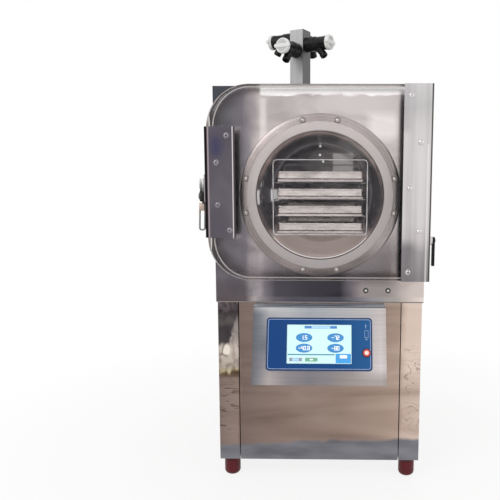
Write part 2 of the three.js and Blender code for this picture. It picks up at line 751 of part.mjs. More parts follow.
function trayAt(z) {
  const half = SHELF_WIDTH / 2 - TRAY_MARGIN;
  const y0 = shelfY0 + TRAY_MARGIN;
  const y1 = shelfY0 + SHELF_DEPTH - TRAY_MARGIN;
  const body = block(-half, half, y0, y1, z, z + TRAY_HEIGHT);
  const inside = block(
    -half + TRAY_WALL, half - TRAY_WALL, y0 + TRAY_WALL, y1 - TRAY_WALL, z + TRAY_WALL, z + TRAY_HEIGHT + 1,
  );
  return cut(body, inside);
}

// ---------------------------------------------------------------- door and hinge

const hingeX = halfHousing + FIT + HINGE_BARREL / 2;
const hingeY = plateY + HINGE_SETBACK;
const doorZ = topZ - DOOR_DROP - DOOR_HEIGHT;
const paneBack = gasketFaceY - FIT - hingeY; // door places are measured from the hinge axis
const paneFront = paneBack - DOOR_THICKNESS;
const plateFront = paneFront - FIT - PLATE;
const leafX = -HINGE_BARREL / 2; // the leaves lie level with the barrel's inner side
const paneRight = leafX - FIT;
const paneLeft = -halfHousing - DOOR_OVERHANG - hingeX;
const knuckle = DOOR_HEIGHT / HINGE_KNUCKLES;
const knuckleSides = 16;

function buildDoor() {
  const door = group(machine, hingeX, hingeY, doorZ);
  const pane = roundedOutline(paneLeft, paneRight, 0, DOOR_HEIGHT, DOOR_CORNER, 0);
  piece(door, 'door_pane', frontal(pane, paneFront, paneBack, 8), acrylic);
  buildHingePlate(door);
  buildLatchPlate(door);
}

// Each knuckle takes one share of the door's height, odd ones on the housing, even ones on the door.
function knuckles(first) {
  const barrels = [];
  for (let n = first; n < HINGE_KNUCKLES; n += 2) {
    barrels.push(rodZ(HINGE_BARREL, n * knuckle + FIT, (n + 1) * knuckle - FIT, 0, 0, knuckleSides));
  }
  return barrels;
}

function hingeBore() {
  return rodZ(clearHole(HINGE_PIN, FIT, SMALL_SIDES), -1, DOOR_HEIGHT + 1, 0, 0);
}

function buildHingePlate(door) {
  const outer = leafX + PLATE;
  const face = block(outer - HINGE_PLATE_WIDTH, outer, plateFront, paneFront - FIT, 0, DOOR_HEIGHT);
  const shortBack = -HINGE_BARREL / 2 - RUNNING;
  const flange = block(leafX, outer, plateFront, shortBack, 0, DOOR_HEIGHT);
  const tongues = [];
  for (let n = 1; n < HINGE_KNUCKLES; n += 2) {
    const low = n * knuckle + FIT;
    tongues.push(block(leafX, outer, shortBack - 1, 0, low, low + knuckle - 2 * FIT));
  }
  const bolts = HINGE_BOLTS.map((share, n) => {
    const column = HINGE_BOLT_COLUMNS[n % HINGE_BOLT_COLUMNS.length];
    return boltHead(-HINGE_PLATE_WIDTH * column, plateFront, DOOR_HEIGHT * (1 - share));
  });
  const body = join(face, flange, ...tongues, ...knuckles(1), ...bolts);
  piece(door, 'hinge_plate', cut(body, hingeBore()), brushedSteel);
}

function buildHingeBracket() {
  const hinge = group(machine, hingeX, hingeY, doorZ);
  const leaf = block(leafX, leafX + HINGE_LEAF, 0, HINGE_LEAF_DEPTH, FIT, DOOR_HEIGHT - FIT);
  const clear = HINGE_BARREL / 2 + RUNNING;
  const reliefs = [];
  for (let n = 1; n < HINGE_KNUCKLES; n += 2) {
    reliefs.push(block(-clear, clear, -clear, clear, n * knuckle - FIT, (n + 1) * knuckle + FIT));
  }
  const body = join(cut(leaf, ...reliefs), ...knuckles(0));
  piece(hinge, 'hinge_bracket', cut(body, hingeBore()), brushedSteel);
  const pin = rodZ(HINGE_PIN, -PLATE, DOOR_HEIGHT + PLATE, 0, 0);
  const head = rodZ(HINGE_BARREL - 2, DOOR_HEIGHT + FIT, DOOR_HEIGHT + PLATE, 0, 0);
  piece(hinge, 'hinge_pin', join(pin, head), brightWire);
}

// ---------------------------------------------------------------- latch

const flangeOuter = paneLeft - FIT - PLATE; // left face of the latch plate's flange
const latchPivotY = (paneFront + paneBack) / 2;
const keeperY = latchPivotY + LATCH_REACH;

function buildLatchPlate(door) {
  const low = LATCH_PLATE_LIFT;
  const high = low + LATCH_PLATE_HEIGHT;
  const face = block(flangeOuter, flangeOuter + LATCH_PLATE_WIDTH, plateFront, paneFront - FIT, low, high);
  const flangeBack = plateFront + LATCH_FLANGE_DEPTH;
  const flange = block(flangeOuter, flangeOuter + PLATE, plateFront, flangeBack, low, high);
  const bolts = LATCH_BOLTS.map(([across, up]) => (
    boltHead(flangeOuter + LATCH_PLATE_WIDTH * across, plateFront, low + LATCH_PLATE_HEIGHT * up)
  ));
  piece(door, 'latch_plate', join(face, flange, ...bolts), brushedSteel);

  const mount = group(door, flangeOuter - FIT, latchPivotY, LATCH_PIVOT_LIFT);
  const half = LATCH_BASE_WIDTH / 2;
  const plate = block(-PLATE, 0, -half, half, -LATCH_BASE_LOW, LATCH_BASE_HIGH);
  const pivot = rodX(LATCH_PIN, -latchStack - PLATE, 0, 0, 0);
  const cap = rodX(LATCH_PIN_CAP, -latchStack - PLATE, -latchStack, 0, 0);
  piece(mount, 'latch_base', join(plate, pivot, cap), brushedSteel);

  const hook = group(mount, -PLATE - FIT, 0, 0);
  hook.rotation.x = -degrees(LATCH_REST);
  piece(hook, 'latch_hook', hookBody(), brightWire);
  piece(hook, 'latch_friction_disc', frictionDisc(), blackPaint);
}

const latchStack = PLATE + FIT + LATCH_HOOK_PLATE + FIT + LATCH_DISC_THICKNESS + FIT;

// The hook lies in a side-view plane. Its place is measured from the pivot.
function hookBody() {
  const tip = LATCH_REACH + KEEPER_PIN / 2 + FIT;
  const top = LATCH_RISE - KEEPER_PIN / 2 + LATCH_CATCH;
  const throat = LATCH_RISE - KEEPER_PIN / 2 - LATCH_THROAT_CLEARANCE;
  const hub = LATCH_HUB / 2;
  const ear = LATCH_EAR / 2;
  const nose = LATCH_NOSE / 2;
  const low = -LATCH_EAR_DROP;
  const high = LATCH_NOSE_RISE;
  const side = outline([
    [-hub, -hub], [-ear, low], [ear, low], [hub, -hub], [hub, 0], [tip + LATCH_CLAW, throat - LATCH_CLAW],
    [tip + LATCH_CLAW, top], [tip, top], [tip, throat], [hub, throat], [nose, high], [-ear, high], [-hub, high / 2],
  ]);
  const plate = sideways(side, -LATCH_HOOK_PLATE, 0);
  const noseBlock = block(-LATCH_HOOK_WIDTH, 0, -nose, nose, LATCH_DISC / 2 + KEEPER_PIN / 2, high);
  const earBlock = block(-LATCH_HOOK_WIDTH, 0, -ear, ear, low, -LATCH_DISC / 2 - KEEPER_PIN / 2);
  const loop = fingerLoop(-LATCH_HOOK_WIDTH / 2, low, LATCH_HOOK_WIDTH, LATCH_LOOP_LENGTH);
  const bore = rodX(clearHole(LATCH_PIN, FIT, SMALL_SIDES), -LATCH_HOOK_WIDTH - 1, 1, 0, 0);
  return cut(join(plate, noseBlock, earBlock, ...loop), bore);
}

// A long ring that hangs below the ear, in the front-view plane.
function fingerLoop(x, z, width, length) {
  const wire = LATCH_LOOP_WIRE;
  const half = width / 2 - wire / 2;
  const low = z - length + wire / 2;
  const path = [
    [x - half, z + 1], [x - half, low + half], [x, low], [x + half, low + half], [x + half, z + 1],
  ];
  const bars = [];
  for (let i = 0; i + 1 < path.length; i++) {
    const [x0, z0] = path[i];
    const [x1, z1] = path[i + 1];
    bars.push(strut([x0, 0, z0], [x1, 0, z1], wire));
  }
  return bars;
}

function frictionDisc() {
  const from = -LATCH_HOOK_PLATE - FIT;
  const body = rodX(LATCH_DISC, from - LATCH_DISC_THICKNESS, from, 0, 0, 16);
  const bore = clearHole(LATCH_PIN, FIT, SMALL_SIDES);
  return cut(body, rodX(bore, from - LATCH_DISC_THICKNESS - 1, from + 1, 0, 0));
}

function buildKeeper() {
  const z = doorZ + LATCH_PIVOT_LIFT + LATCH_RISE;
  const y = hingeY + keeperY;
  const wall = -halfHousing - FIT;
  const tipX = hingeX + flangeOuter - FIT - PLATE - FIT - LATCH_HOOK_PLATE - KEEPER_MARGIN;
  const up = KEEPER_FOOT_HEIGHT / 2;
  const foot = block(wall - PLATE, wall, y - KEEPER_FOOT_FRONT, y + KEEPER_FOOT_REAR, z - up, z + up);
  const pin = rodX(KEEPER_PIN, tipX, wall - 1, y, z);
  piece(machine, 'latch_keeper', join(foot, pin), brushedSteel);
}

// ---------------------------------------------------------------- touch console

const consoleTop = deckZ - DECK - CONSOLE_DROP;
const consoleBottom = consoleTop - CONSOLE_HEIGHT;
const consoleSlope = Math.atan2(CONSOLE_REACH - CONSOLE_TOP_REACH, CONSOLE_HEIGHT);

// The console's side outline, taken in by the given amount on its three outer sides.
function consoleSide(inset, back) {
  const lean = inset / Math.cos(consoleSlope);
  const slope = (CONSOLE_REACH - CONSOLE_TOP_REACH) / CONSOLE_HEIGHT;
  const faceAt = (z) => frontY - CONSOLE_TOP_REACH - (consoleTop - z) * slope + lean;
  const high = consoleTop - inset;
  const low = consoleBottom + inset;
  return outline([[back, low], [faceAt(low), low], [faceAt(high), high], [back, high]]);
}

function buildConsole() {
  const half = CONSOLE_WIDTH / 2;
  const skin = sideways(consoleSide(0, frontY - FIT), -half, half);
  const hollow = sideways(consoleSide(SHEET, frontY + 1), -half + SHEET, half - SHEET);

  const middle = (CONSOLE_TOP_REACH + CONSOLE_REACH) / 2;
  const face = group(machine, 0, frontY - middle, (consoleTop + consoleBottom) / 2);
  face.rotation.x = -consoleSlope;
  face.updateMatrix();
  const window = block(
    -DISPLAY_WIDTH / 2 - DISPLAY_GAP, DISPLAY_WIDTH / 2 + DISPLAY_GAP, -5, SHEET + 5,
    BEZEL_SHIFT - DISPLAY_HEIGHT / 2 - DISPLAY_GAP, BEZEL_SHIFT + DISPLAY_HEIGHT / 2 + DISPLAY_GAP,
  );
  const buttonHole = rodY(BUTTON_DIAMETER + 2 * RUNNING, -5, SHEET + 5, BUTTON_X, buttonZ, 20);
  const usbHole = usbSlot(1, -5, SHEET + 5);
  const tools = [window, buttonHole, usbHole].map((tool) => tool.applyMatrix4(face.matrix));
  piece(machine, 'console_housing', cut(skin, hollow, ...tools), brushedSteel);
  buildBezel(face);
}

const buttonZ = BEZEL_SHIFT - BUTTON_DROP;

function usbSlot(gap, y0, y1) {
  const z = BEZEL_SHIFT + USB_RISE;
  const x = USB_WIDTH / 2 + gap;
  const up = USB_HEIGHT / 2 + gap;
  return block(BUTTON_X - x, BUTTON_X + x, y0, y1, z - up, z + up);
}

function buildBezel(face) {
  const x = BEZEL_WIDTH / 2;
  const z = BEZEL_HEIGHT / 2;
  const shape = roundedOutline(-x, x, BEZEL_SHIFT - z, BEZEL_SHIFT + z, BEZEL_CORNER, BEZEL_CORNER);
  const plate = frontal(shape, -FIT - BEZEL_THICKNESS, -FIT, 4);
  const view = block(
    -DISPLAY_WIDTH / 2, DISPLAY_WIDTH / 2, -9, 1,
    BEZEL_SHIFT - DISPLAY_HEIGHT / 2, BEZEL_SHIFT + DISPLAY_HEIGHT / 2,
  );
  const buttonHole = rodY(clearHole(BUTTON_DIAMETER, FIT, 20), -9, 1, BUTTON_X, buttonZ, 20);
  piece(face, 'console_bezel', cut(plate, view, buttonHole, usbSlot(0, -9, 1)), bluePanel);

  const shown = block(
    -DISPLAY_WIDTH / 2 - DISPLAY_RIM, DISPLAY_WIDTH / 2 + DISPLAY_RIM, 0, DISPLAY_DEPTH,
    BEZEL_SHIFT - DISPLAY_HEIGHT / 2 - DISPLAY_RIM, BEZEL_SHIFT + DISPLAY_HEIGHT / 2 + DISPLAY_RIM,
  );
  const glass = block(
    -DISPLAY_WIDTH / 2 + FIT, DISPLAY_WIDTH / 2 - FIT, -DISPLAY_PROUD, 1,
    BEZEL_SHIFT - DISPLAY_HEIGHT / 2 + FIT, BEZEL_SHIFT + DISPLAY_HEIGHT / 2 - FIT,
  );
  piece(face, 'touch_display', join(shown, glass), screenGlass);

  const proud = -FIT - BEZEL_THICKNESS - BUTTON_PROUD;
  const back = SHEET + FIT + BUTTON_COLLAR;
  const cap = rodY(BUTTON_DIAMETER, proud, back, BUTTON_X, buttonZ, 20);
  const collar = rodY(BUTTON_DIAMETER + 2 * BUTTON_COLLAR, SHEET + FIT, back, BUTTON_X, buttonZ, 20);
  piece(face, 'power_button', join(cap, collar), redButton);
}

// ---------------------------------------------------------------- flask manifold

const mastTop = topZ + MAST_RISE;
const valveFaceY = -MAST_WIDTH / 2 - FIT; // the valve's seat, from the mast axis

function valveZ(index) {
  return mastTop - VALVE_DROP + VALVE_RISES[index];
}

// Valves go round the mast: front left, front right, rear right, rear left.
function valveTurn(index) {
  return index * Math.PI / 2;
}

function buildMast() {
  const bar = mastBar(MAST_WIDTH, chamberZ, mastTop);
  const hollow = mastBar(MAST_WIDTH - 2 * MAST_WALL, chamberZ - 1, mastTop - MAST_WALL);
  const drumTool = rodY(
    2 * (drumRadius + FIT), plateY - 50, drumBackY, 0, chamberZ, DRUM_SIDES,
  );
  const ports = [];
  for (let index = 0; index < VALVE_COUNT; index++) {
    const port = rodY(PORT_BORE, -MAST_WIDTH / 2 - 1, -MAST_WIDTH / 2 + MAST_WALL + 1, 0, valveZ(index));
    port.rotateZ(valveTurn(index) - degrees(MAST_TURN)).translate(MAST_X, mastY, 0);
    ports.push(port);
  }
  piece(machine, 'manifold_mast', cut(bar, hollow, drumTool, ...ports), brushedSteel);
}

// A valve points along -Y from the mast axis, which is the origin of its own frame.
function valveBody() {
  const seat = valveFaceY;
  const nose = seat - VALVE_LENGTH;
  const radius = VALVE_DIAMETER / 2;
  const profile = [
    [0, nose], [VALVE_NECK / 2, nose], [VALVE_NECK / 2, seat - VALVE_COLLAR - VALVE_STEP],
    [radius, seat - VALVE_COLLAR], [radius, seat], [0, seat],
  ];
  const outletY = seat - VALVE_COLLAR;
  const reach = (outlet) => outlet.rotateX(-degrees(OUTLET_TILT)).translate(0, outletY, 0);
  const barrel = turnedY(profile, VALVE_SIDES);
  const outlet = reach(rodZ(OUTLET_DIAMETER, -OUTLET_LENGTH, 0, 0, 0));
  const outletBore = reach(rodZ(OUTLET_BORE, -OUTLET_LENGTH - 1, 0, 0, 0));
  const throughBore = rodY(OUTLET_BORE, outletY, seat + 1, 0, 0);
  const stemBore = rodY(
    clearHole(KNOB_STEM, FIT, SMALL_SIDES), nose - 1, nose + KNOB_STEM_LENGTH + FIT, 0, 0,
  );
  return cut(join(barrel, outlet), outletBore, throughBore, stemBore);
}

function valveKnob() {
  const seat = valveFaceY - VALVE_LENGTH - FIT;
  const radius = KNOB_DIAMETER / 2;
  const cap = turnedY([
    [0, seat - KNOB_RIM], [radius - KNOB_CHAMFER, seat - KNOB_RIM],
    [radius, seat - KNOB_RIM + KNOB_CHAMFER], [radius, seat], [0, seat],
  ], VALVE_SIDES);
  const reach = KNOB_GRIP_LENGTH / 2;
  const half = KNOB_GRIP_WIDTH / 2;
  const gripY = seat - KNOB_RIM - KNOB_GRIP;
  const grip = block(-reach, reach, gripY, gripY + KNOB_GRIP + KNOB_GRIP_SUNK, -half, half);
  const stem = rodY(KNOB_STEM, seat - 1, seat + KNOB_STEM_LENGTH, 0, 0);
  return join(cap, grip, stem);
}

function buildManifold() {
  buildMast();
  for (let index = 0; index < VALVE_COUNT; index++) {
    const valve = group(machine, MAST_X, mastY, valveZ(index));
    valve.rotation.z = valveTurn(index) - degrees(MAST_TURN);
    piece(valve, `manifold_valve_${index + 1}`, valveBody(), blackPlastic);
    piece(valve, `valve_knob_${index + 1}`, valveKnob(), whitePlastic);
  }
}

// ---------------------------------------------------------------- vent valve

function buildVentValve() {
  const wall = halfHousing + FIT;
  const end = wall + VENT_BODY_LENGTH;
  const pipe = rodX(VENT_PIPE, 0, end, ventY, ventZ, VALVE_SIDES);
  const body = rodX(VENT_BODY, wall, end, ventY, ventZ, VALVE_SIDES);
  const nozzle = rodZ(VENT_NOZZLE, ventZ, ventZ + VENT_BODY, wall + VENT_BODY_LENGTH / 2, ventY);
  const stem = rodX(VENT_STEM, end - 1, end + VENT_LEVER_THICKNESS + VENT_STEM_MARGIN, ventY, ventZ);
  const drumTool = rodY(2 * (drumRadius + FIT), plateY, drumBackY, 0, chamberZ, DRUM_SIDES);
  const bore = rodX(VENT_BORE, 0, end - VENT_END_WALL, ventY, ventZ);
  piece(machine, 'vent_valve_body', cut(join(pipe, body, nozzle, stem), drumTool, bore), brightWire);

  const lever = group(machine, end + FIT, ventY, ventZ);
  const width = VENT_LEVER_WIDTH / 2;
  const hub = rodX(VENT_LEVER_HUB, 0, VENT_LEVER_THICKNESS, 0, 0, VALVE_SIDES);
  const arm = block(0, VENT_LEVER_THICKNESS, -width, width, -VENT_LEVER_LENGTH, 0);
  const stemHole = rodX(clearHole(VENT_STEM, FIT, SMALL_SIDES), -1, VENT_LEVER_THICKNESS + 1, 0, 0);
  piece(lever, 'vent_valve_lever', cut(join(hub, arm), stemHole), blackPlastic);
}

// ---------------------------------------------------------------- vacuum port

function buildVacuumPort() {
  const outer = PORT_PIPE / 2;
  const bore = portBore / 2;
  const flange = PORT_FLANGE / 2;
  const end = rearY + PORT_REACH;
  const profile = [
    [bore, drumBackY + FIT], [outer, drumBackY + FIT], [outer, end - PORT_FLANGE_THICKNESS],
    [flange, end - PORT_FLANGE_THICKNESS + PORT_FLANGE_BEVEL], [flange, end], [bore, end], [bore, drumBackY + FIT],
  ];
  piece(machine, 'vacuum_port', turnedY(profile, 24).translate(0, 0, chamberZ), brushedSteel);
}

// ---------------------------------------------------------------- refrigeration

function buildCompressor() {
  const radius = COMPRESSOR_DIAMETER / 2;
  const profile = COMPRESSOR_OUTLINE.map(([out, up]) => [radius * out, COMPRESSOR_HEIGHT * up]);
  const place = group(machine, COMPRESSOR_X, frontY + COMPRESSOR_SETBACK, panTopZ + FIT);
  const stand = block(-radius, radius, -radius, radius, 0, COMPRESSOR_STAND);
  piece(place, 'compressor', join(turnedZ(profile, 24), stand), blackPaint);
}

const shroudBack = rearPanelY - SHEET - FIT;
const shroudFront = shroudBack - FAN_DEPTH;
const fanZ = floorZ + FAN_LIFT;

function buildFan() {
  const half = SHROUD_SIZE / 2;
  const place = group(machine, FAN_X, 0, fanZ);
  const plate = block(-half, half, shroudFront, shroudFront + SHROUD_PLATE, -half, half);
  const throat = FAN_DIAMETER + 2 * SHROUD_GAP;
  const tunnel = ringY(throat + 2 * SHROUD_PLATE, throat, shroudFront, shroudBack, 24);
  const opening = rodY(throat, shroudFront - 1, shroudBack + 1, 0, 0, 24);
  const motorY = shroudFront + SHROUD_PLATE + FAN_MOTOR_DEPTH;
  const motor = rodY(FAN_MOTOR, shroudFront, motorY, 0, 0, 16);
  const arms = [];
  for (let n = 0; n < FAN_ARMS; n++) {
    const armEnd = (throat + SHROUD_PLATE) / 2;
    const up = FAN_ARM_WIDTH / 2;
    const arm = block(0, armEnd, shroudFront, shroudFront + SHROUD_PLATE, -up, up);
    arms.push(arm.rotateY(Math.PI / 2 + (n / FAN_ARMS) * Math.PI * 2));
  }
  const shaft = rodY(FAN_SHAFT, motorY - 1, shroudBack - FAN_SHAFT_INSET, 0, 0);
  piece(place, 'fan_shroud', join(cut(plate, opening), tunnel, motor, ...arms, shaft), blackPaint);

  const hubY0 = motorY + RUNNING;
  const hubY1 = shroudBack - FAN_HUB_INSET;
  const hub = rodY(FAN_HUB, hubY0, hubY1, 0, 0, 16);
  const blades = [];
  for (let n = 0; n < FAN_BLADES; n++) {
    const out = [FAN_HUB / 2 - FAN_BLADE_ROOT, FAN_DIAMETER / 2];
    const thick = FAN_BLADE_THICKNESS / 2;
    const blade = block(...out, -thick, thick, -FAN_BLADE_WIDTH / 2, FAN_BLADE_WIDTH / 2);
    blade.rotateX(degrees(FAN_BLADE_PITCH)).rotateY((n / FAN_BLADES) * Math.PI * 2);
    blades.push(blade.translate(0, (hubY0 + hubY1) / 2, 0));
  }
  const bore = rodY(clearHole(FAN_SHAFT, FIT, SMALL_SIDES), hubY0 - 1, hubY1 + 1, 0, 0);
  piece(place, 'fan_rotor', cut(join(hub, ...blades), bore), blackPlastic);
  buildGuard(place);
}

function buildGuard(place) {
  const y = rearPanelY + FIT + GUARD_WIRE / 2;
  const rings = [];
  const outer = FAN_DIAMETER / 2 + GUARD_LAP;
  for (let n = 0; n < GUARD_RINGS; n++) {
    const radius = outer * (1 - n / GUARD_RINGS);
    const ring = new THREE.TorusGeometry(radius, GUARD_WIRE / 2, 4, 20).rotateX(Math.PI / 2);
    rings.push(ring.translate(0, y, 0));
  }
  const spokes = [];
  for (let n = 0; n < GUARD_SPOKES; n++) {
    const turn = (n + 0.5) * (Math.PI / GUARD_SPOKES);
    spokes.push(rodX(GUARD_WIRE, -outer, outer, 0, 0, 4).rotateY(turn).translate(0, y, 0));
  }
  piece(place, 'fan_guard', join(...rings, ...spokes), brightWire);
}

function buildCondenser() {
  const half = SHROUD_SIZE / 2;
  const y1 = shroudFront - FIT;
  const y0 = y1 - CONDENSER_DEPTH;
  const place = group(machine, FAN_X, 0, fanZ);
  const finPitch = SHROUD_SIZE / CONDENSER_FINS;
  const gap = (finPitch * CONDENSER_GAP) / 2;
  const slotUp = half - CONDENSER_FRAME;
  const slots = [];
  for (let n = 0; n < CONDENSER_FINS; n++) {
    const x = -half + (n + 0.5) * finPitch;
    slots.push(block(x - gap, x + gap, y0 - 1, y0 + CONDENSER_SLOT_DEPTH, -slotUp, slotUp));
  }
  const core = block(-half, half, y0, y1, -half, half);
  piece(place, 'condenser', cut(core, ...slots), finAluminium);
}

// ---------------------------------------------------------------- electrics

function buildElectrics() {
  const box = group(machine, CONTROL_X, frontY + CONTROL_SETBACK, panTopZ + FIT);
  const side = CONTROL_WIDTH / 2;
  const body = block(-side, side, 0, CONTROL_DEPTH, 0, CONTROL_HEIGHT);
  const inside = block(
    -side + SHEET, side - SHEET, SHEET, CONTROL_DEPTH - SHEET, SHEET, CONTROL_HEIGHT - SHEET,
  );
  const cableHole = rodY(CABLE_HOLE, -1, SHEET + 1, 0, CONTROL_HEIGHT - CABLE_HOLE, 12);
  piece(box, 'control_box', cut(body, inside, cableHole), greyEnamel);

  const inlet = group(machine, inletX, rearPanelY, floorZ + INLET_LIFT);
  const half = INLET_WIDTH / 2;
  const up = INLET_HEIGHT / 2;
  const rim = block(-half, half, FIT, INLET_RIM, -up, up);
  const tubHalf = half - INLET_TUB_INSET;
  const tubUp = up - INLET_TUB_INSET;
  const tub = block(-tubHalf, tubHalf, -INLET_TUB, FIT + 1, -tubUp, tubUp);
  const across = SOCKET_WIDTH / 2;
  const socketZ = -up + SOCKET_LIFT;
  const socket = block(-across, across, -SOCKET_DEPTH, INLET_RIM + 1, socketZ, socketZ + SOCKET_HEIGHT);
  const opening = SWITCH_SIZE / 2;
  const rocker = block(
    -opening, opening, -SWITCH_DEPTH, INLET_RIM + 1, SWITCH_RISE - opening, SWITCH_RISE + opening,
  );
  const pinZ = socketZ + SOCKET_HEIGHT / 2;
  const pins = [-PIN_PITCH, 0, PIN_PITCH].map((x) => block(
    x - PIN_WIDTH / 2, x + PIN_WIDTH / 2, -SOCKET_DEPTH - 1, -PIN_INSET,
    pinZ - PIN_HEIGHT / 2, pinZ + PIN_HEIGHT / 2,
  ));
  const axle = rodX(SWITCH_AXLE, -opening - 1, opening + 1, -SWITCH_AXLE_INSET, SWITCH_RISE, 8);
  piece(inlet, 'power_inlet', join(cut(join(rim, tub), socket, rocker), ...pins, axle), blackPlastic);
  buildSwitch(inlet);
}

// A rocker on the axle across its opening.
function buildSwitch(inlet) {
  const half = SWITCH_SIZE / 2 - SWITCH_GAP;
  const end = half - 1;
  const front = INLET_RIM + SWITCH_GAP;
  const back = -SWITCH_AXLE - SWITCH_GAP;
  const profile = outline([[back, -end], [front, -end], [front / 2, 0], [front, end], [back, end]]);
  const rocker = sideways(profile, -half, half);
  const bore = rodX(clearHole(SWITCH_AXLE, FIT, 8), -half - 1, half + 1, 0, 0, 8);
  const place = group(inlet, 0, -SWITCH_AXLE_INSET, SWITCH_RISE);
  place.rotation.x = degrees(SWITCH_TILT);
  piece(place, 'main_switch', cut(rocker, bore), redButton);
}

// ---------------------------------------------------------------- the machine

buildFeet();
buildPan();
buildSidePanel('side_panel_left', -1);
buildSidePanel('side_panel_right', 1);
buildLowerFront();
buildLowerRear();
buildDeck();
buildHousing();
buildDrum();
buildCoil();
buildInsulation();
buildFlange();
buildRack();
buildDoor();
buildHingeBracket();
buildKeeper();
buildConsole();
buildManifold();
buildVentValve();
buildVacuumPort();
buildCompressor();
buildFan();
buildCondenser();
buildElectrics();

export default machine;
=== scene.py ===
import json
import math

import bmesh
import bpy
from mathutils import Matrix, Vector


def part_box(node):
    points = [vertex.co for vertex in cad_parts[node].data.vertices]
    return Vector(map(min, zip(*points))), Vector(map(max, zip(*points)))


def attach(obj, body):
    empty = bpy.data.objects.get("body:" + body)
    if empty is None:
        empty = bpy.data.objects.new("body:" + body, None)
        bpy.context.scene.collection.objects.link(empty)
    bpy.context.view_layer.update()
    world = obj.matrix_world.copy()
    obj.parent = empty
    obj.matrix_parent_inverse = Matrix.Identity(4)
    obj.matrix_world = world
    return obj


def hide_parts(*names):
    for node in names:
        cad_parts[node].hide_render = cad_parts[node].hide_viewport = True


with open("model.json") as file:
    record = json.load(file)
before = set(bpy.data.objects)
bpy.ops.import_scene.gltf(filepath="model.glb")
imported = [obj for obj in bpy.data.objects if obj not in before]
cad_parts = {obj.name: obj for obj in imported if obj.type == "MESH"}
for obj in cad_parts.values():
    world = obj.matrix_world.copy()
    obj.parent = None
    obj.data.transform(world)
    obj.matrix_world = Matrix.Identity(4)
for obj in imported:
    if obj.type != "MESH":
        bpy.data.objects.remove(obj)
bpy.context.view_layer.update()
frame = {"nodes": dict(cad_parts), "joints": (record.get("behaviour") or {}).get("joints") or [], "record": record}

scene = bpy.context.scene
nodes = frame["nodes"]
bodies = frame["record"]["behaviour"]["bodies"]
body_of = {node: body for body, members in bodies.items() for node in members}
slot_of = {name: node.data.materials[0].name for name, node in nodes.items()}
joints = {joint["name"]: joint for joint in frame["joints"]}

MM = 0.001
FRONT, BACK = (0, -1, 0), (0, 1, 0)
MAST_TURN = math.radians(28)
WHITE = (1, 1, 1, 1)

flange_low, flange_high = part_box("chamber_flange")
chamber = (flange_low + flange_high) / 2

# ---------------------------------------------------------------- shader nodes


def rgb(code):
    """A hex colour as the linear colour that a shader takes."""
    parts = [int(code[i : i + 2], 16) / 255 for i in (0, 2, 4)]
    linear = [p / 12.92 if p <= 0.04045 else ((p + 0.055) / 1.055) ** 2.4 for p in parts]
    return (*linear, 1)


class Tree:
    """Shader nodes, each added with its inputs in one line."""

    def __init__(self, owner):
        owner.use_nodes = True
        self.tree = owner.node_tree

    def add(self, kind, inputs=(), **settings):
        node = self.tree.nodes.new("ShaderNode" + kind)
        for key, value in settings.items():
            setattr(node, key, value)
        for key, value in dict(inputs).items():
            self.feed(node.inputs[key], value)
        return node

    def feed(self, socket, value):
        if isinstance(value, bpy.types.NodeSocket):
            self.tree.links.new(value, socket)
        else:
            socket.default_value = value

    def math(self, operation, a, b=0.0):
        return self.add("Math", {0: a, 1: b}, operation=operation).outputs[0]

    def seen(self):
        """1 for a ray that shows the white of the room: straight, in a reflection or through the pane."""
        path = self.add("LightPath").outputs
        either = self.math("MAXIMUM", path["Is Camera Ray"], path["Is Glossy Ray"])
        return self.math("MAXIMUM", either, path["Is Transmission Ray"])


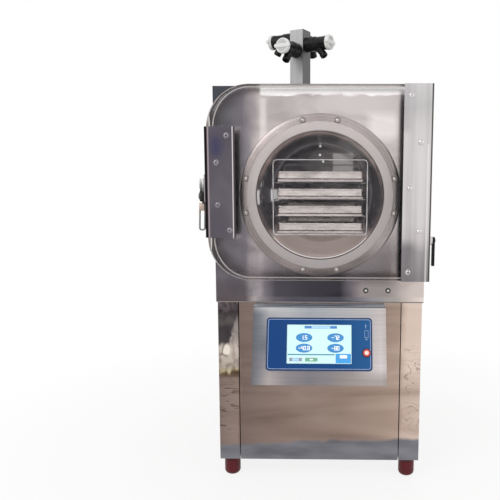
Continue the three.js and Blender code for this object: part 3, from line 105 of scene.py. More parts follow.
class Paint(Tree):
    """One node material. Its patterns lie in the machine's own frame, in metres, and are laid over self.body.

    A share is a number or a socket from 0 to 1, and several shares are multiplied. Limits on an axis are
    counted from the origin given.
    """

    def __init__(self, name, roughness=0.5, metallic=0.0, origin=(0, 0, 0)):
        self.material = bpy.data.materials.new(name)
        super().__init__(self.material)
        self.shader = self.tree.nodes["Principled BSDF"]
        self.set(Roughness=roughness, Metallic=metallic)
        self.place = self.add("TexCoord").outputs["Object"]
        self.origin = dict(zip("XYZ", origin))
        self.body = None

    def set(self, **values):
        """Shader inputs by name, with _ for a space."""
        for key, value in values.items():
            self.feed(self.shader.inputs[key.replace("_", " ")], value)
        return self

    def times(self, first, *others):
        for other in others:
            first = self.math("MULTIPLY", first, other)
        return first

    def vector(self, operation, *inputs):
        return self.add("VectorMath", dict(enumerate(inputs)), operation=operation).outputs["Vector"]

    def measure(self, operation, *inputs):
        """A number drawn from vectors, such as their distance."""
        return self.add("VectorMath", dict(enumerate(inputs)), operation=operation).outputs["Value"]

    def part(self, letter, where=None):
        return self.add("SeparateXYZ", {0: self.place if where is None else where}).outputs[letter]

    def noise(self, stretch, detail=2.0, seed=0.0, distortion=0.0):
        """Noise from 0 to 1. stretch is how many features there are per metre, on every axis or on each."""
        stretch = stretch if isinstance(stretch, tuple) else (stretch,) * 3
        where = self.vector("MULTIPLY_ADD", self.place, stretch, (seed, seed * 1.7, seed * 0.6))
        inputs = {"Vector": where, "Scale": 1.0, "Detail": detail, "Distortion": distortion}
        return self.add("TexNoise", inputs).outputs[0]

    def waver(self, noise, amount):
        """A noise as a shift to and fro."""
        return self.times(self.math("SUBTRACT", noise, 0.5), amount)

    def span(self, value, low, high, to_low=0.0, to_high=1.0):
        return self.add("MapRange", {0: value, 1: low, 2: high, 3: to_low, 4: to_high}).outputs[0]

    def axis(self, letter, low, high, noise=None, amount=0.0):
        """0 at low and 1 at high on that axis, shifted by a noise if one is given."""
        value, start = self.part(letter), self.origin[letter]
        if noise is not None:
            value = self.math("ADD", value, self.waver(noise, amount))
        return self.span(value, start + low, start + high)

    def within(self, soft, noise=None, amount=0.0, **limits):
        """1 inside the limits on each axis named, and 0 outside them, with a soft edge."""
        share = 1.0
        for letter, (low, high) in limits.items():
            rise = self.axis(letter, low - soft, low + soft, noise, amount)
            fall = self.axis(letter, high + soft, high - soft, noise, amount)
            share = self.times(share, self.times(rise, fall))
        return share

    def ramp(self, value, stops):
        """Colours along a value. stops is text, with a place:colour for each."""
        node = self.add("ValToRGB", {0: value})
        elements = node.color_ramp.elements
        stops = [stop.split(":") for stop in stops.split()]
        while len(elements) < len(stops):
            elements.new(0.5)
        for element, (place, code) in zip(elements, stops):
            element.position = float(place)
            element.color = rgb(code)
        return node.outputs[0]

    def two(self, value, dark, light, low=0.3, high=0.7):
        return self.ramp(value, f"{low}:{dark} {high}:{light}")

    def mix(self, share, a, b, blend="MIX"):
        inputs = {0: share, 6: a, 7: b}
        return self.add("Mix", data_type="RGBA", blend_type=blend, inputs=inputs).outputs[2]

    def blend(self, share, other):
        self.body = self.mix(share, self.body, other)

    def lay(self, code, *shares):
        """Lays a colour over the body."""
        self.blend(self.times(*shares), rgb(code))

    def shade(self, tint, share=1.0):
        """Multiplies the body by a tint."""
        self.body = self.mix(share, self.body, tint, "MULTIPLY")

    def cover(self, share, other):
        """Mixes another shader over this one."""
        both = self.add("MixShader", {0: share, 1: self.shader.outputs[0], 2: other.outputs[0]})
        self.feed(self.tree.nodes["Material Output"].inputs["Surface"], both.outputs[0])

    def done(self, grain=None, smooth=0.0, rough=0.0):
        """Puts the body on the shader. A grain moves the roughness between smooth and rough."""
        self.set(Base_Color=self.body)
        if grain is not None:
            self.set(Roughness=self.span(grain, 0.3, 0.7, smooth, rough))
        return self.material


# ---------------------------------------------------------------- finishes


def plain(name, light, dark, roughness, metallic=0.0, grain=60, specular=0.5):
    """A nearly even finish: two close colours mixed by a fine noise."""
    paint = Paint(name, roughness, metallic).set(Specular_IOR_Level=specular)
    cloud = paint.noise(grain, 3)
    paint.body = paint.two(cloud, dark, light)
    return paint.done(cloud, roughness * 0.9, min(1, roughness * 1.15))


def streaked(name, light, dark, roughness, stretch, seed):
    """Rolled or brushed steel: soft light and dark streaks along one axis."""
    paint = Paint(name, roughness, 1.0)
    fine = paint.noise(tuple(8 * s for s in stretch), 3, seed + 5)
    paint.body = paint.two(paint.noise(stretch, 2, seed, 0.4), dark, light)
    paint.shade(paint.two(fine, "e6e6e6", "ffffff"))
    return paint.done(fine, roughness * 0.85, roughness * 1.2)


def lit(name, code, strength):
    """A lit part of the screen or the button."""
    paint = Paint(name, 0.25)
    paint.body = paint.mix(0.06, rgb(code), paint.two(paint.noise(900, 1), "ffffff", code))
    return paint.set(Emission_Color=paint.body, Emission_Strength=strength).done()


def cabinet_steel():
    """Polished steel of the lower cabinet, its colour painted with the room's reflections: brown, lighter to the
    right, with soft level bands and a cool band along its foot. Painted reflections mark the two corner strips,
    and most of all the left one."""
    paint = Paint("cabinet_steel", 0.26, 1.0)
    sheet = (-0.28, -0.262)  # from before the front sheet to just behind it
    roll = paint.noise((2.2, 1.5, 7), 3, 2, 0.8)
    # the colours across the front, and the level bands below, are painted reflections
    across = paint.axis("X", -0.25, 0.25, roll, 0.03)
    paint.body = paint.ramp(
        across,
        "0:85746e 0.05:8f7e76 0.09:938178 0.11:7d6c66 0.2:86756d 0.4:96837a 0.6:9b887d 0.8:ad988c "
        "0.895:b8a295 0.91:cbb6a9 1:d4c0b3",
    )
    level = paint.noise((1.8, 1.2, 11), 3, 7, 1.4)
    bands = paint.ramp(level, "0.25:cfcbcb 0.42:efecea 0.6:ffffff 0.78:e6e2e0")
    paint.shade(bands)
    paint.lay("e6d3c6", paint.within(0.01, roll, 0.02, X=(0.205, 0.26), Z=(0.27, 0.46)), 0.6)

    # the two sides carry plainer painted reflections than the front
    plainer = paint.mix(1.0, bands, paint.two(roll, "9a8b83", "ab9b92"), "MULTIPLY")
    paint.blend(paint.axis("Y", -0.264, -0.262), plainer)

    # left strip, all painted reflection: grey at its top, a dark patch with a slanting edge, then a pale stretch
    marble = paint.noise((44, 44, 30), 4, 4, 1.2)
    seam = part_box("lower_front_panel")[0].x
    strip = paint.within(0.001, X=(-0.262, seam), Y=sheet)
    stretch = paint.ramp(
        paint.axis("Z", 0.26, 0.456, marble, 0.03),
        "0:6d5b51 0.05:75624f 0.09:c3b797 0.14:b9aca1 0.4:c6bab0 0.5:a59a94 0.72:8f8582 0.84:4f484b 1:6d6365",
    )
    stretch = paint.mix(1.0, stretch, paint.two(marble, "c4bebb", "ffffff", 0.36, 0.56), "MULTIPLY")
    paint.blend(paint.times(strip, paint.axis("Z", 0.258, 0.264, marble, 0.012)), stretch)
    slant = paint.measure("DOT_PRODUCT", paint.place, (1, 0, -0.26))
    slant = paint.span(paint.math("ADD", slant, paint.times(marble, 0.016)), -0.302, -0.307)
    low, high = paint.axis("Z", 0.345, 0.352, marble, 0.03), paint.axis("Z", 0.442, 0.392, marble, 0.03)
    paint.lay("322f34", slant, low, high, strip, 0.9)

    # on the pale stretch a painted highlight, a bright upright spot, with a painted dark rim at its left
    flat = paint.vector("MULTIPLY", paint.place, (1, 0.1, 0.6))
    away = paint.measure("DISTANCE", flat, (-0.2295, -0.0265, 0.1985))
    away = paint.math("ADD", away, paint.times(marble, 0.01))
    paint.lay("302a28", strip, paint.span(away, 0.0195, 0.0155, 0, 0.7), paint.axis("X", -0.2245, -0.2305))
    paint.lay("ebe1d4", strip, paint.span(away, 0.0165, 0.0125))

    # short dark painted reflections below it
    reflected_marks = paint.span(paint.noise((26, 26, 150), 3, 23, 0.7), 0.57, 0.64)
    paint.lay("4e403a", reflected_marks, paint.within(0.012, X=(-0.262, -0.2), Z=(0.115, 0.25)), strip, 0.7)

    # thin wavy painted reflection lines on both strips, where a noise passes through its middle value
    near = paint.math("ABSOLUTE", paint.math("SUBTRACT", paint.noise((14, 14, 30), 1, 17, 1.4), 0.5))
    line = paint.times(paint.span(near, 0.014, 0.004), paint.within(0.02, Z=(0.115, 0.34)))
    aside = paint.span(paint.math("ABSOLUTE", paint.part("X")), 0.206, 0.210)
    fewer = paint.math("SUBTRACT", 1.0, paint.times(strip, 0.75))
    paint.lay("6d5e57", line, aside, fewer, paint.within(0.001, Y=sheet), 0.55)

    # the cool band is a painted reflection; its upper edge wavers and rises to the right
    waver = paint.waver(paint.noise((9, 9, 3), 2, 11, 0.6), 0.03)
    edge = paint.math("ADD", paint.span(across, 0, 1, 0.084, 0.108), waver)
    cool = paint.two(paint.noise((8, 3, 30), 2, 3), "68686e", "85858b")
    paint.blend(paint.span(paint.math("SUBTRACT", paint.part("Z"), edge), 0.004, -0.004), cool)
    return paint.done(roll, 0.2, 0.32)


def housing_steel():
    """Polished steel of the chamber housing, its colour painted with the room's reflections: slate at the left,
    then a bright upright band, and a painted white reflection along the top, which glows a little as a painted
    highlight. Its lower part, seen under the pane, is painted darker."""
    paint = Paint("housing_steel", 0.24, 1.0)
    sway = paint.noise((3, 3, 2.5), 3, 1, 0.6)
    across = paint.axis("X", -0.253, 0.253, sway, 0.02)
    # the colours across the plate, above and below, are painted reflections
    upper = paint.ramp(
        across,
        "0:727278 0.08:7a797f 0.135:86838a 0.175:b4aeb0 0.2:cbc5c3 0.225:ece6e4 0.245:ddd7d5 0.27:d6d0cf "
        "0.5:dad5d4 0.72:dcd7d6 0.86:d6d1d0 1:e0dad8",
    )
    lower = paint.ramp(
        across,
        "0:6d696e 0.14:706c71 0.165:9b9698 0.215:a39ca0 0.24:7b757c 0.29:504d54 0.45:413f45 0.6:3d3b41 "
        "0.645:706b72 0.82:767171 0.86:a9a19f 0.885:cdc1bb 1:d3c7c1",
    )
    paint.body = paint.mix(paint.axis("Z", 0.515, 0.66, sway, 0.05), lower, upper)
    middle = paint.noise((5, 5, 9), 3, 21, 0.8)
    paint.shade(paint.ramp(middle, "0.3:d2cfd1 0.55:fbfafa 0.75:ffffff"))
    # painted highlights: a bright upright streak at the left and a bright patch at the right
    paint.lay("f3edeb", paint.within(0.004, sway, 0.006, X=(-0.141, -0.127), Z=(0.80, 0.938)), 0.7)
    paint.lay("fffdfc", paint.within(0.012, middle, 0.03, X=(0.115, 0.185), Z=(0.845, 0.905)), 0.7)
    left = paint.axis("X", -0.12, -0.17)
    paint.shade(paint.two(paint.noise(40, 3, 9), "e3e5e9", "ffffff", 0.35, 0.65), left)

    # the painted white reflection along the top, with a faint glow as a painted highlight
    ragged = paint.noise((16, 16, 40), 3, 5, 0.6)
    strip = paint.times(paint.axis("Z", 0.9425, 0.9465, ragged, 0.018), paint.axis("X", -0.1435, -0.1375))
    paint.lay("ffffff", strip)
    brighter = paint.times(strip, paint.axis("Z", 0.947, 0.951), 0.15)
    paint.set(Emission_Color=WHITE, Emission_Strength=paint.math("ADD", paint.times(strip, 0.2), brighter))

    # painted reflections under the pane, with a lip that is seen below its edge
    for limits, code in ((0.088, 0.205), "aea4a1"), ((-0.28, -0.172), "584f52"):
        paint.lay(code, paint.within(0.014, sway, 0.02, X=limits, Z=(0.43, 0.503)), 0.6)
    lip = paint.ramp(
        across,
        "0:5c5256 0.15:63595c 0.19:aca3a2 0.225:8f8789 0.28:6a636a 0.36:56535b 0.6:504d55 0.65:6a676e "
        "0.75:979194 0.87:a8a29d 0.91:c3b7b2 1:e8d9d3",
    )
    paint.blend(paint.within(0.002, ragged, 0.003, Z=(0.45, 0.466)), lip)

    # painted shadow and reflection: a dark band beside the hinge plate, a dark arc outside the pane's round
    # corner, and a lighter patch of painted light beside the latch plate
    beside = paint.ramp(paint.axis("Z", 0.52, 0.95), "0:302e36 0.3:605d63 1:aaa4a6")
    paint.blend(paint.within(0.0015, X=(0.188, 0.2035), Z=(0.513, 0.955)), beside)
    corner = (-0.1671, 0, 0.8686)
    away = paint.measure("DISTANCE", paint.vector("MULTIPLY", paint.place, (1, 0, 1)), corner)
    outside = paint.within(0.001, X=(-0.3, corner[0]), Z=(corner[2], 1.0))
    paint.lay("43464c", paint.span(away, 0.1015, 0.1035), outside, 0.9)
    paint.lay("a7a1a4", paint.within(0.005, X=(-0.215, -0.188), Z=(0.612, 0.872)), 0.7)
    return paint.done(sway, 0.18, 0.3)


def hinge_steel():
    """Bright plate with faint upright streaks, with painted reflection and shade: cooler near its top, darker at
    its foot, a painted highlight line near its right edge and painted shade along that edge.
    """
    paint = Paint("hinge_steel", 0.3, 1.0)
    streak = paint.noise((60, 60, 2.0), 2, 2)
    cloud = paint.noise((14, 14, 7), 2, 12, 0.6)
    # painted shade: darker towards the foot
    paint.body = paint.ramp(
        paint.axis("Z", 0.513, 0.964, cloud, 0.05),
        "0:8f8a8c 0.08:9b9697 0.16:a5a0a1 0.22:cac5c4 0.3:d6d2d1 0.45:d8d4d3 0.66:dcd8d7 0.8:dad7d6 "
        "0.9:cdcaca 1:dedbdb",
    )
    paint.shade(paint.two(streak, "e4e3e4", "ffffff", 0.3, 0.65))
    # painted reflection near the top, painted shade at the foot, then a painted highlight line and a painted dark
    # shade along the right edge
    paint.lay("a7a3a8", paint.within(0.008, cloud, 0.03, X=(0.18, 0.208), Z=(0.86, 0.98)), 0.5)
    paint.lay("6f6c70", paint.within(0.01, cloud, 0.03, X=(0.18, 0.215), Z=(0.50, 0.60)), 0.6)
    paint.lay("f4f2f1", paint.within(0.0012, X=(0.2445, 0.2485), Z=(0.50, 0.83)), 0.5)
    paint.lay("55524f", paint.within(0.0006, X=(0.2525, 0.2562), Z=(0.50, 0.97)))
    return paint.done(streak, 0.26, 0.36)


def latch_steel():
    """Slate plate with a painted navy sheen, a painted black shade along its left edge with a painted pale
    highlight beside it, and a painted bright highlight along its right edge with a painted dark shade outside."""
    paint = Paint("latch_steel", 0.42, 1.0)
    cloud = paint.noise((9, 9, 7), 2, 8, 0.5)
    paint.body = paint.ramp(cloud, "0.3:545059 0.5:5e5961 0.7:6d666d")
    # painted reflection: a navy patch near the top
    paint.lay("43425e", paint.within(0.01, cloud, 0.02, X=(-0.252, -0.228), Z=(0.80, 0.842)), 0.8)
    # painted highlights and shade along the edges: a pale line and a black shade at the left, a bright line and a
    # dark shade at the right
    for code, left, right, soft in (
        ("a89b9f", -0.2572, -0.2545, 0.0012), ("e0d8d8", -0.2007, -0.1987, 0.0006),
        ("1f1a1d", -0.2642, -0.2582, 0.0005), ("4b4649", -0.1978, -0.1900, 0.0005),
    ):
        paint.lay(code, paint.within(soft, X=(left, right)))
    return paint.done(cloud, 0.4, 0.46)


def hook_steel():
    """Latch hook: grey-green at the top, black at the pivot, then a brownish ear and a silver loop."""
    paint = Paint("hook_steel", 0.3, 0.8)
    cloud = paint.noise(40, 2, 3)
    paint.body = paint.ramp(
        paint.axis("Z", 0.62, 0.76, cloud, 0.004),
        "0:7b8080 0.36:8f9392 0.38:9f8d83 0.5:b9a79d 0.53:2a2321 0.7:221c1b 0.73:5d5d5b 0.85:8d8d8b 1:5a5a58",
    )
    return paint.done(cloud, 0.25, 0.35)


def mast_steel():
    """Brushed square bar, whose two faces to the right are painted darker than the other two, as painted shade."""
    paint = Paint("mast_steel", 0.5, 1.0)
    low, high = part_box("manifold_mast")
    middle = (low + high) / 2
    right = (math.cos(MAST_TURN), -math.sin(MAST_TURN), 0)
    flat = (high.x - low.x) / 2 / (math.cos(MAST_TURN) + math.sin(MAST_TURN))  # half the bar's own width
    away = paint.vector("SUBTRACT", paint.place, (middle.x, middle.y, 0))
    side = paint.span(paint.measure("DOT_PRODUCT", away, right), flat - 0.0012, flat - 0.0004)
    grain = paint.noise((150, 150, 3), 2, 4)
    # the faces to the right take the darker colours, a painted shade
    paint.body = paint.mix(side, paint.two(grain, "9e9e9e", "acacac"), paint.two(grain, "6a6a6a", "767676"))
    return paint.done(grain, 0.48, 0.58)


def turned_steel(name, roughness, rings):
    """Turned steel: a painted reflection, lighter and darker in turn, goes round the chamber's axis, and fine
    rings follow the radius.
    """
    paint = Paint(name, roughness, 1.0)
    offset = paint.vector("SUBTRACT", paint.place, (chamber.x, 0, chamber.z))
    angle = paint.math("ARCTAN2", paint.part("Z", offset), paint.part("X", offset))
    # painted reflection and shade round the axis
    paint.body = paint.ramp(
        paint.span(angle, -math.pi, math.pi),
        "0:ada4a2 0.06:9b9391 0.13:958d8b 0.2:a39a98 0.25:8a8381 0.34:857f7d 0.4:b9b3b1 0.47:a39e9c "
        "0.53:a09b99 0.6:b3acaa 0.68:c9c0bf 0.75:b9b0af 0.84:c9c2c0 0.92:b3aaa8 1:ada4a2",
    )
    radius = paint.measure("LENGTH", paint.vector("MULTIPLY", offset, (1, 0, 1)))
    where = paint.add("CombineXYZ", {0: paint.times(radius, rings)}).outputs[0]
    ring = paint.add("TexNoise", {"Vector": where, "Scale": 1.0, "Detail": 2.0}).outputs[0]
    paint.shade(paint.two(ring, "dcdcdc", "ffffff", 0.35, 0.65))
    return paint.done(ring, roughness * 0.8, roughness * 1.2)


def drum_steel():
    """The inside of the drum, its colour painted with the room's reflections. It is painted warm and light under
    the rack. The wall above goes, in painted reflection, from brown at the mouth through black to grey at the
    back. A painted glow of its own stands for the room's light that it gathers."""
    mouth = flange_high.y
    paint = Paint("drum_steel", 0.2, 0.4, (chamber.x, mouth, chamber.z))
    wave = paint.noise((6, 4, 6), 3, 3, 0.8)
    swirl = paint.noise((9, 6, 16), 2, 31, 1.8)

    # the colours along the wall and on the rear wall are painted reflections
    inward = paint.axis("Y", 0, 0.42, wave, 0.04)
    wall = paint.ramp(
        inward, "0:a08d86 0.13:97847f 0.21:544c4e 0.34:1b181c 0.55:252328 0.8:474449 1:79767b"
    )
    rear = paint.mix(paint.axis("X", -0.06, 0.06, swirl, 0.08), rgb("353237"), rgb("6b6867"))
    rear = paint.mix(paint.axis("Z", 0.06, -0.01, swirl, 0.04), rear, rgb("38353a"))
    paint.body = paint.mix(paint.axis("Y", 0.405, 0.42), wall, rear)
    # painted reflection: swirls of lighter and darker
    paint.shade(paint.two(swirl, "8d8b8f", "ffffff", 0.3, 0.5))

    # painted shade on the walls beside the rack, with a few painted glints
    beside = paint.times(paint.within(0.02, swirl, 0.03, Z=(-0.09, 0.05), Y=(0, 0.25)), 0.8)
    paint.lay("3a373d", beside)
    paint.lay("e9e6e4", paint.span(paint.noise((16, 10, 24), 2, 44, 1.0), 0.66, 0.72), beside)

    # painted reflections: on the rear wall a pale square and three small lights, and an upright light at the left
    # of each end
    paint.lay("b4b2b0", paint.within(0.003, X=(0.034, 0.095), Z=(0.066, 0.122), Y=(0.369, 0.469)), 0.7)
    depth = 0.12
    flat = paint.vector("MULTIPLY", paint.place, (1, depth, 1))
    for x, z in ((-0.005, 0.143), (-0.006, 0.117), (0.004, 0.097)):
        spot = (chamber.x + x, depth * (mouth + 0.4), chamber.z + z)
        paint.lay("ffffff", paint.span(paint.measure("DISTANCE", flat, spot), 0.0052, 0.0038))
    for side, near, far in ((-0.16, -0.01, 0.05), (-0.152, 0.35, 0.45)):
        upright = paint.within(0.003, swirl, 0.006, X=(side, side + 0.02), Y=(near, far), Z=(-0.022, 0.012))
        paint.lay("ffffff", upright, 0.85)

    # painted reflection: warm and light on the floor under the rack, with a painted glint at the mouth
    weave = paint.two(paint.noise(900, 1, 6), "e4e1df", "ffffff", 0.4, 0.6)
    warm = paint.mix(1.0, paint.two(wave, "aca09b", "bfb3ae"), weave, "MULTIPLY")
    paint.blend(paint.axis("Z", -0.08, -0.1, wave, 0.008), warm)
    paint.lay("ffffff", paint.within(0.001, Y=(-0.01, 0.016), Z=(-0.2, -0.1)))
    # the painted glow stands for the room's light that the drum gathers
    return paint.set(Emission_Color=paint.body, Emission_Strength=0.42).done(wave, 0.16, 0.26)


def console_steel():
    """Satin steel. Its face is painted with reflections, slate at the left and pale at the right, and with painted
    shade along its foot.
    """
    paint = Paint("console_steel", 0.34, 1.0)
    cloud = paint.noise((7, 7, 6), 2, 6, 0.8)
    low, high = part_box("console_bezel")
    middle = (low + high) / 2
    across = paint.axis("X", middle.x - 0.158, middle.x + 0.158)
    level = paint.math("ADD", paint.axis("Z", middle.z - 0.09, middle.z + 0.09), paint.waver(cloud, 0.1))
    # the rows are painted reflections, with painted shade towards the foot
    places = (0.0, 0.05, 0.13, 0.26, 0.43, 0.58, 0.74, 0.88, 0.96, 1.0)
    below = 0.0
    for height, codes in (  # from the foot of the face to its top
        (0.05, "6a6b6f 88868a b0a8a6 8f8a8d 807d82 8d888a a19895 ada4a1 b0a7a4 a59b98"),
        (0.2, "6b6c71 7f7e83 a39d9e 8f8a8d 858288 908c8f a39b99 c9c1bf dbd3d4 cfc5c3"),
        (0.5, "63646a 6f7179 74767e 85868c 8b8c92 96969b a5a3a6 c3bdbc d0c9c8 c3b9b4"),
        (0.85, "64666c 787b82 a9a9ad b1b1b5 a4a7ac adaeb2 b5b3b6 bdb9b9 c7c0bf c3bab6"),
        (0.97, "8a8c92 b4b4b7 c9c6c6 b9babd a6a9ae b0b1b5 b9b7b9 c3bebd c9c2bf c6bdb9"),
    ):
        row = paint.ramp(across, " ".join(f"{place}:{code}" for place, code in zip(places, codes.split())))
        if paint.body is None:
            paint.body = row
        else:
            paint.blend(paint.span(level, below, height), row)
        below = height
    paint.shade(paint.two(paint.noise((6, 6, 700), 2, 2), "efefef", "ffffff", 0.35, 0.65))
    # a painted pale reflection on the top, and a painted shadow line for the dark gap under the housing in front
    # of it
    paint.lay("e2ecf8", paint.axis("Z", 0.4485, 0.4495))
    paint.lay("474d52", paint.within(0.0004, Z=(0.4470, 0.4494)))
    return paint.done(cloud, 0.3, 0.4)


def blue_panel():
    """Deep blue film, a little lighter to the right."""
    paint = Paint("blue_panel", 0.45).set(Specular_IOR_Level=0.2)
    low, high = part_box("console_bezel")
    fine = paint.noise(200, 2)
    across = paint.axis("X", low.x, high.x, fine, 0.01)
    paint.body = paint.ramp(across, "0:104484 0.7:154d8c 0.85:235b96 1:2a639e")
    return paint.done(fine, 0.42, 0.5)


def tray_steel():
    """Bright pressed trays, a little warm, with level streaks."""
    paint = Paint("tray_steel", 0.24, 1.0)
    cloud = paint.noise((14, 14, 60), 3, 9, 0.6)
    paint.body = paint.ramp(cloud, "0.25:aba6a4 0.5:cfc9c6 0.75:eae5e2")
    return paint.done(cloud, 0.2, 0.3)


def gasket_silicone():
    """Pale grey silicone, a little darker towards the foot of the ring."""
    paint = Paint("gasket_silicone", 0.5)
    up = paint.axis("Z", 0.55, 0.87, paint.noise(14, 2), 0.03)
    paint.body = paint.ramp(up, "0:a39f9f 0.5:b6b0af 1:c2bcbb")
    return paint.done()


def acrylic_side():
    """The pane's side walls: painted pale at the front and grey-brown behind, a painted highlight and shade for
    the light that thick acrylic shows at its edge.
    """
    paint = Paint("acrylic_side", 0.45)
    low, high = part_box("door_pane")
    cloud = paint.noise(20, 3)
    back = paint.axis("Y", low.y + 0.007, high.y, cloud, 0.003)
    # painted highlight at the front and painted shade behind
    paint.body = paint.ramp(back, "0:d3d2d1 0.3:bfbdbc 0.5:8f8a89 1:77716f")
    return paint.done(cloud, 0.4, 0.5)


def acrylic(name, roughness, light, dark, bending, clear=1.0):
    """Clear cast acrylic, with painted shade along its top and its left edge. Lamps shine through it, so that what
    is behind it stays lit."""
    paint = Paint(name, roughness).set(Transmission_Weight=clear, IOR=bending)
    paint.body = paint.two(paint.noise(5, 2, 1), dark, light)
    # painted shade along the top and at the left edge
    paint.shade(rgb("827e7f"), paint.within(0.001, Z=(0.9575, 0.97)))
    left = paint.times(paint.within(0.0008, X=(-0.2614, -0.2545)), paint.within(0.008, Z=(0.5, 0.884)))
    paint.shade(rgb("a69d9a"), left)
    through = paint.add("BsdfTransparent", {"Color": rgb("f3f0f0")})
    paint.cover(paint.add("LightPath").outputs["Is Shadow Ray"], through)
    return paint.done()


PLAIN = {  # light colour, dark colour, roughness, and where they differ: metallic, grain, specular level
    "wire_steel": ("dcdcdd", "bdbdc0", 0.2, 1.0),
    "bright_steel": ("e2e0df", "c9c6c5", 0.22, 1.0),
    "bolt_steel": ("dcd9d8", "c4c0bf", 0.2, 1.0),
    "grey_bolt": ("aaa5aa", "8f8a90", 0.35, 1.0),
    "washer_steel": ("827c7a", "736d6b", 0.35, 1.0),
    "flange_bolt": ("d3cfcd", "b7b3b1", 0.25, 1.0),
    "red_rubber": ("64131b", "500f16", 0.42, 0.0, 90, 0.3),
    "foot_rim": ("35181b", "2a1315", 0.5),
    "black_plastic": ("161618", "0e0e10", 0.42, 0.0, 120, 0.22),
    "white_plastic": ("f2f2f0", "e6e6e4", 0.36, 0.0, 80),
    "knob_face": ("cfcfce", "c4c4c3", 0.4, 0.0, 80),
    "blue_edge": ("17305e", "122850", 0.45),
    "panel_line": ("b9cbe6", "a5bbdd", 0.4),
    "red_button": ("d9473d", "c93c34", 0.3),
    "foam": ("2b2d30", "1c1e20", 0.9, 0.0, 300),
    "copper": ("c17c52", "a8663e", 0.3, 1.0),
    "black_paint": ("242527", "191a1c", 0.4, 0.2),
    "grey_enamel": ("a3a6a9", "95989b", 0.45, 0.2),
    # a near-black painted shade for the gap round the button and in the socket
    "dark_gap": ("17181b", "0f1012", 0.7),
}
STREAKED = {  # light colour, dark colour, roughness, streaks per metre on each axis, seed
    "housing_side": ("b9b3b2", "9c9695", 0.26, (1.2, 1.2, 7), 8),
    "rear_steel": ("b3acaa", "958e8d", 0.28, (1.5, 1.5, 9), 3),
    "shelf_steel": ("dcd5d3", "b3abaa", 0.26, (6, 6, 90), 5),
    "fin_aluminium": ("c0c4c7", "9fa3a6", 0.42, (200, 3, 3), 6),
}
LIT = {  # colour, strength
    "screen_glass": ("d6f9fa", 0.2), "screen_blue": ("2a86c8", 0.25), "screen_title": ("3a7ec4", 0.25),
    "screen_pale": ("a9d8f5", 0.25), "screen_teal": ("2f8ba6", 0.2), "screen_grey": ("8f93a4", 0.2),
    "screen_green": ("6fae8e", 0.22), "screen_cyan": ("2b9be0", 0.28), "screen_white": ("ffffff", 0.3),
    "button_glow": ("f7d5cd", 0.3),
}
# acrylic_edge is tinted darker as painted shade in the chamfer, and acrylic_line is pale as a painted highlight
ACRYLIC = {  # roughness, light colour, dark colour, index of refraction, share of light let through
    "acrylic": (0.01, "fcfafa", "f6f4f4", 1.22),
    "acrylic_edge": (0.1, "b3aaa7", "a39a97", 1.4),
    "acrylic_line": (0.3, "eee6e3", "e0d7d4", 1.4, 0.5),
}
TURNED = {"flange_steel": (0.26, 900), "port_steel": (0.3, 500)}  # roughness, rings per metre

looks = {}
for make, table in (
    (plain, PLAIN), (streaked, STREAKED), (lit, LIT), (acrylic, ACRYLIC), (turned_steel, TURNED),
):
    looks.update((name, make(name, *values)) for name, values in table.items())
for make in (
    cabinet_steel, housing_steel, hinge_steel, latch_steel, hook_steel, mast_steel, drum_steel,
    console_steel, blue_panel, tray_steel, gasket_silicone, acrylic_side,
):
    looks[make.__name__] = make()

# ---------------------------------------------------------------- mesh helpers
# Outlines, profiles and paths are in millimetres. Matrices and meshes are in metres.


def limits(name):
    """The low and the high corner of a CAD node's box, in millimetres."""
    return [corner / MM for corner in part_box(name)]


def arc(radius, start, end, steps):
    """Points round (0, 0) from one angle to another, in degrees."""
    turns = [math.radians(start + (end - start) * step / steps) for step in range(steps + 1)]
    return [(radius * math.cos(turn), radius * math.sin(turn)) for turn in turns]


def ring(radius, count):
    return arc(radius, 0, 360, count)[:-1]


def rounded(half_u, half_v, radius, steps=6, centre=(0, 0)):
    """A rectangle with round corners."""
    points = []
    for quarter, (right, up) in enumerate(((1, -1), (1, 1), (-1, 1), (-1, -1))):
        u, v = centre[0] + right * (half_u - radius), centre[1] + up * (half_v - radius)
        start = 90 * quarter - 90
        points += [(u + c, v + s) for c, s in arc(radius, start, start + 90, steps)]
    return points


def eased(points, radius, steps=3, closed=True):
    """The same path with its corners rounded."""
    straight = 0.2  # a bend of fewer radians stays as it is
    result = []
    points = [Vector(point) for point in points]
    for i, here in enumerate(points):
        before, after = points[i - 1] - here, points[(i + 1) % len(points)] - here
        bend = math.pi - before.angle(after)
        if bend < straight or not closed and i in (0, len(points) - 1):
            result.append(here)
            continue
        cut = min(radius * math.tan(bend / 2), 0.45 * before.length, 0.45 * after.length)
        start, end = here + before.normalized() * cut, here + after.normalized() * cut
        for step in range(steps + 1):
            t = step / steps
            result.append((1 - t) ** 2 * start + 2 * t * (1 - t) * here + t * t * end)
    return result


def at(matrix, *point):
    """A point of a frame, in the machine's millimetres."""
    return matrix @ (Vector(point) * MM) / MM


def moved(matrix, *point):
    """The frame carried to a point of its own."""
    return matrix @ Matrix.Translation(Vector(point) * MM)


def facing(point, direction):
    """A frame at a point, whose Z axis looks along a direction and whose X axis is level."""
    z = Vector(direction).normalized()
    x = Vector((0, 0, 1)).cross(z)
    x = x.normalized() if x.length > 1e-6 else Vector((1, 0, 0))
    return moved(Matrix(), *point) @ Matrix((x, z.cross(x), z)).transposed().to_4x4()


def put(bm, points, matrix=Matrix()):
    return [bm.verts.new(matrix @ (Vector(point) * MM)) for point in points]


def levels(bm, rows, matrix=Matrix()):
    """A ring of points for each row, given as (outline, height)."""
    return [put(bm, [(u, v, height) for u, v in outline], matrix) for outline, height in rows]


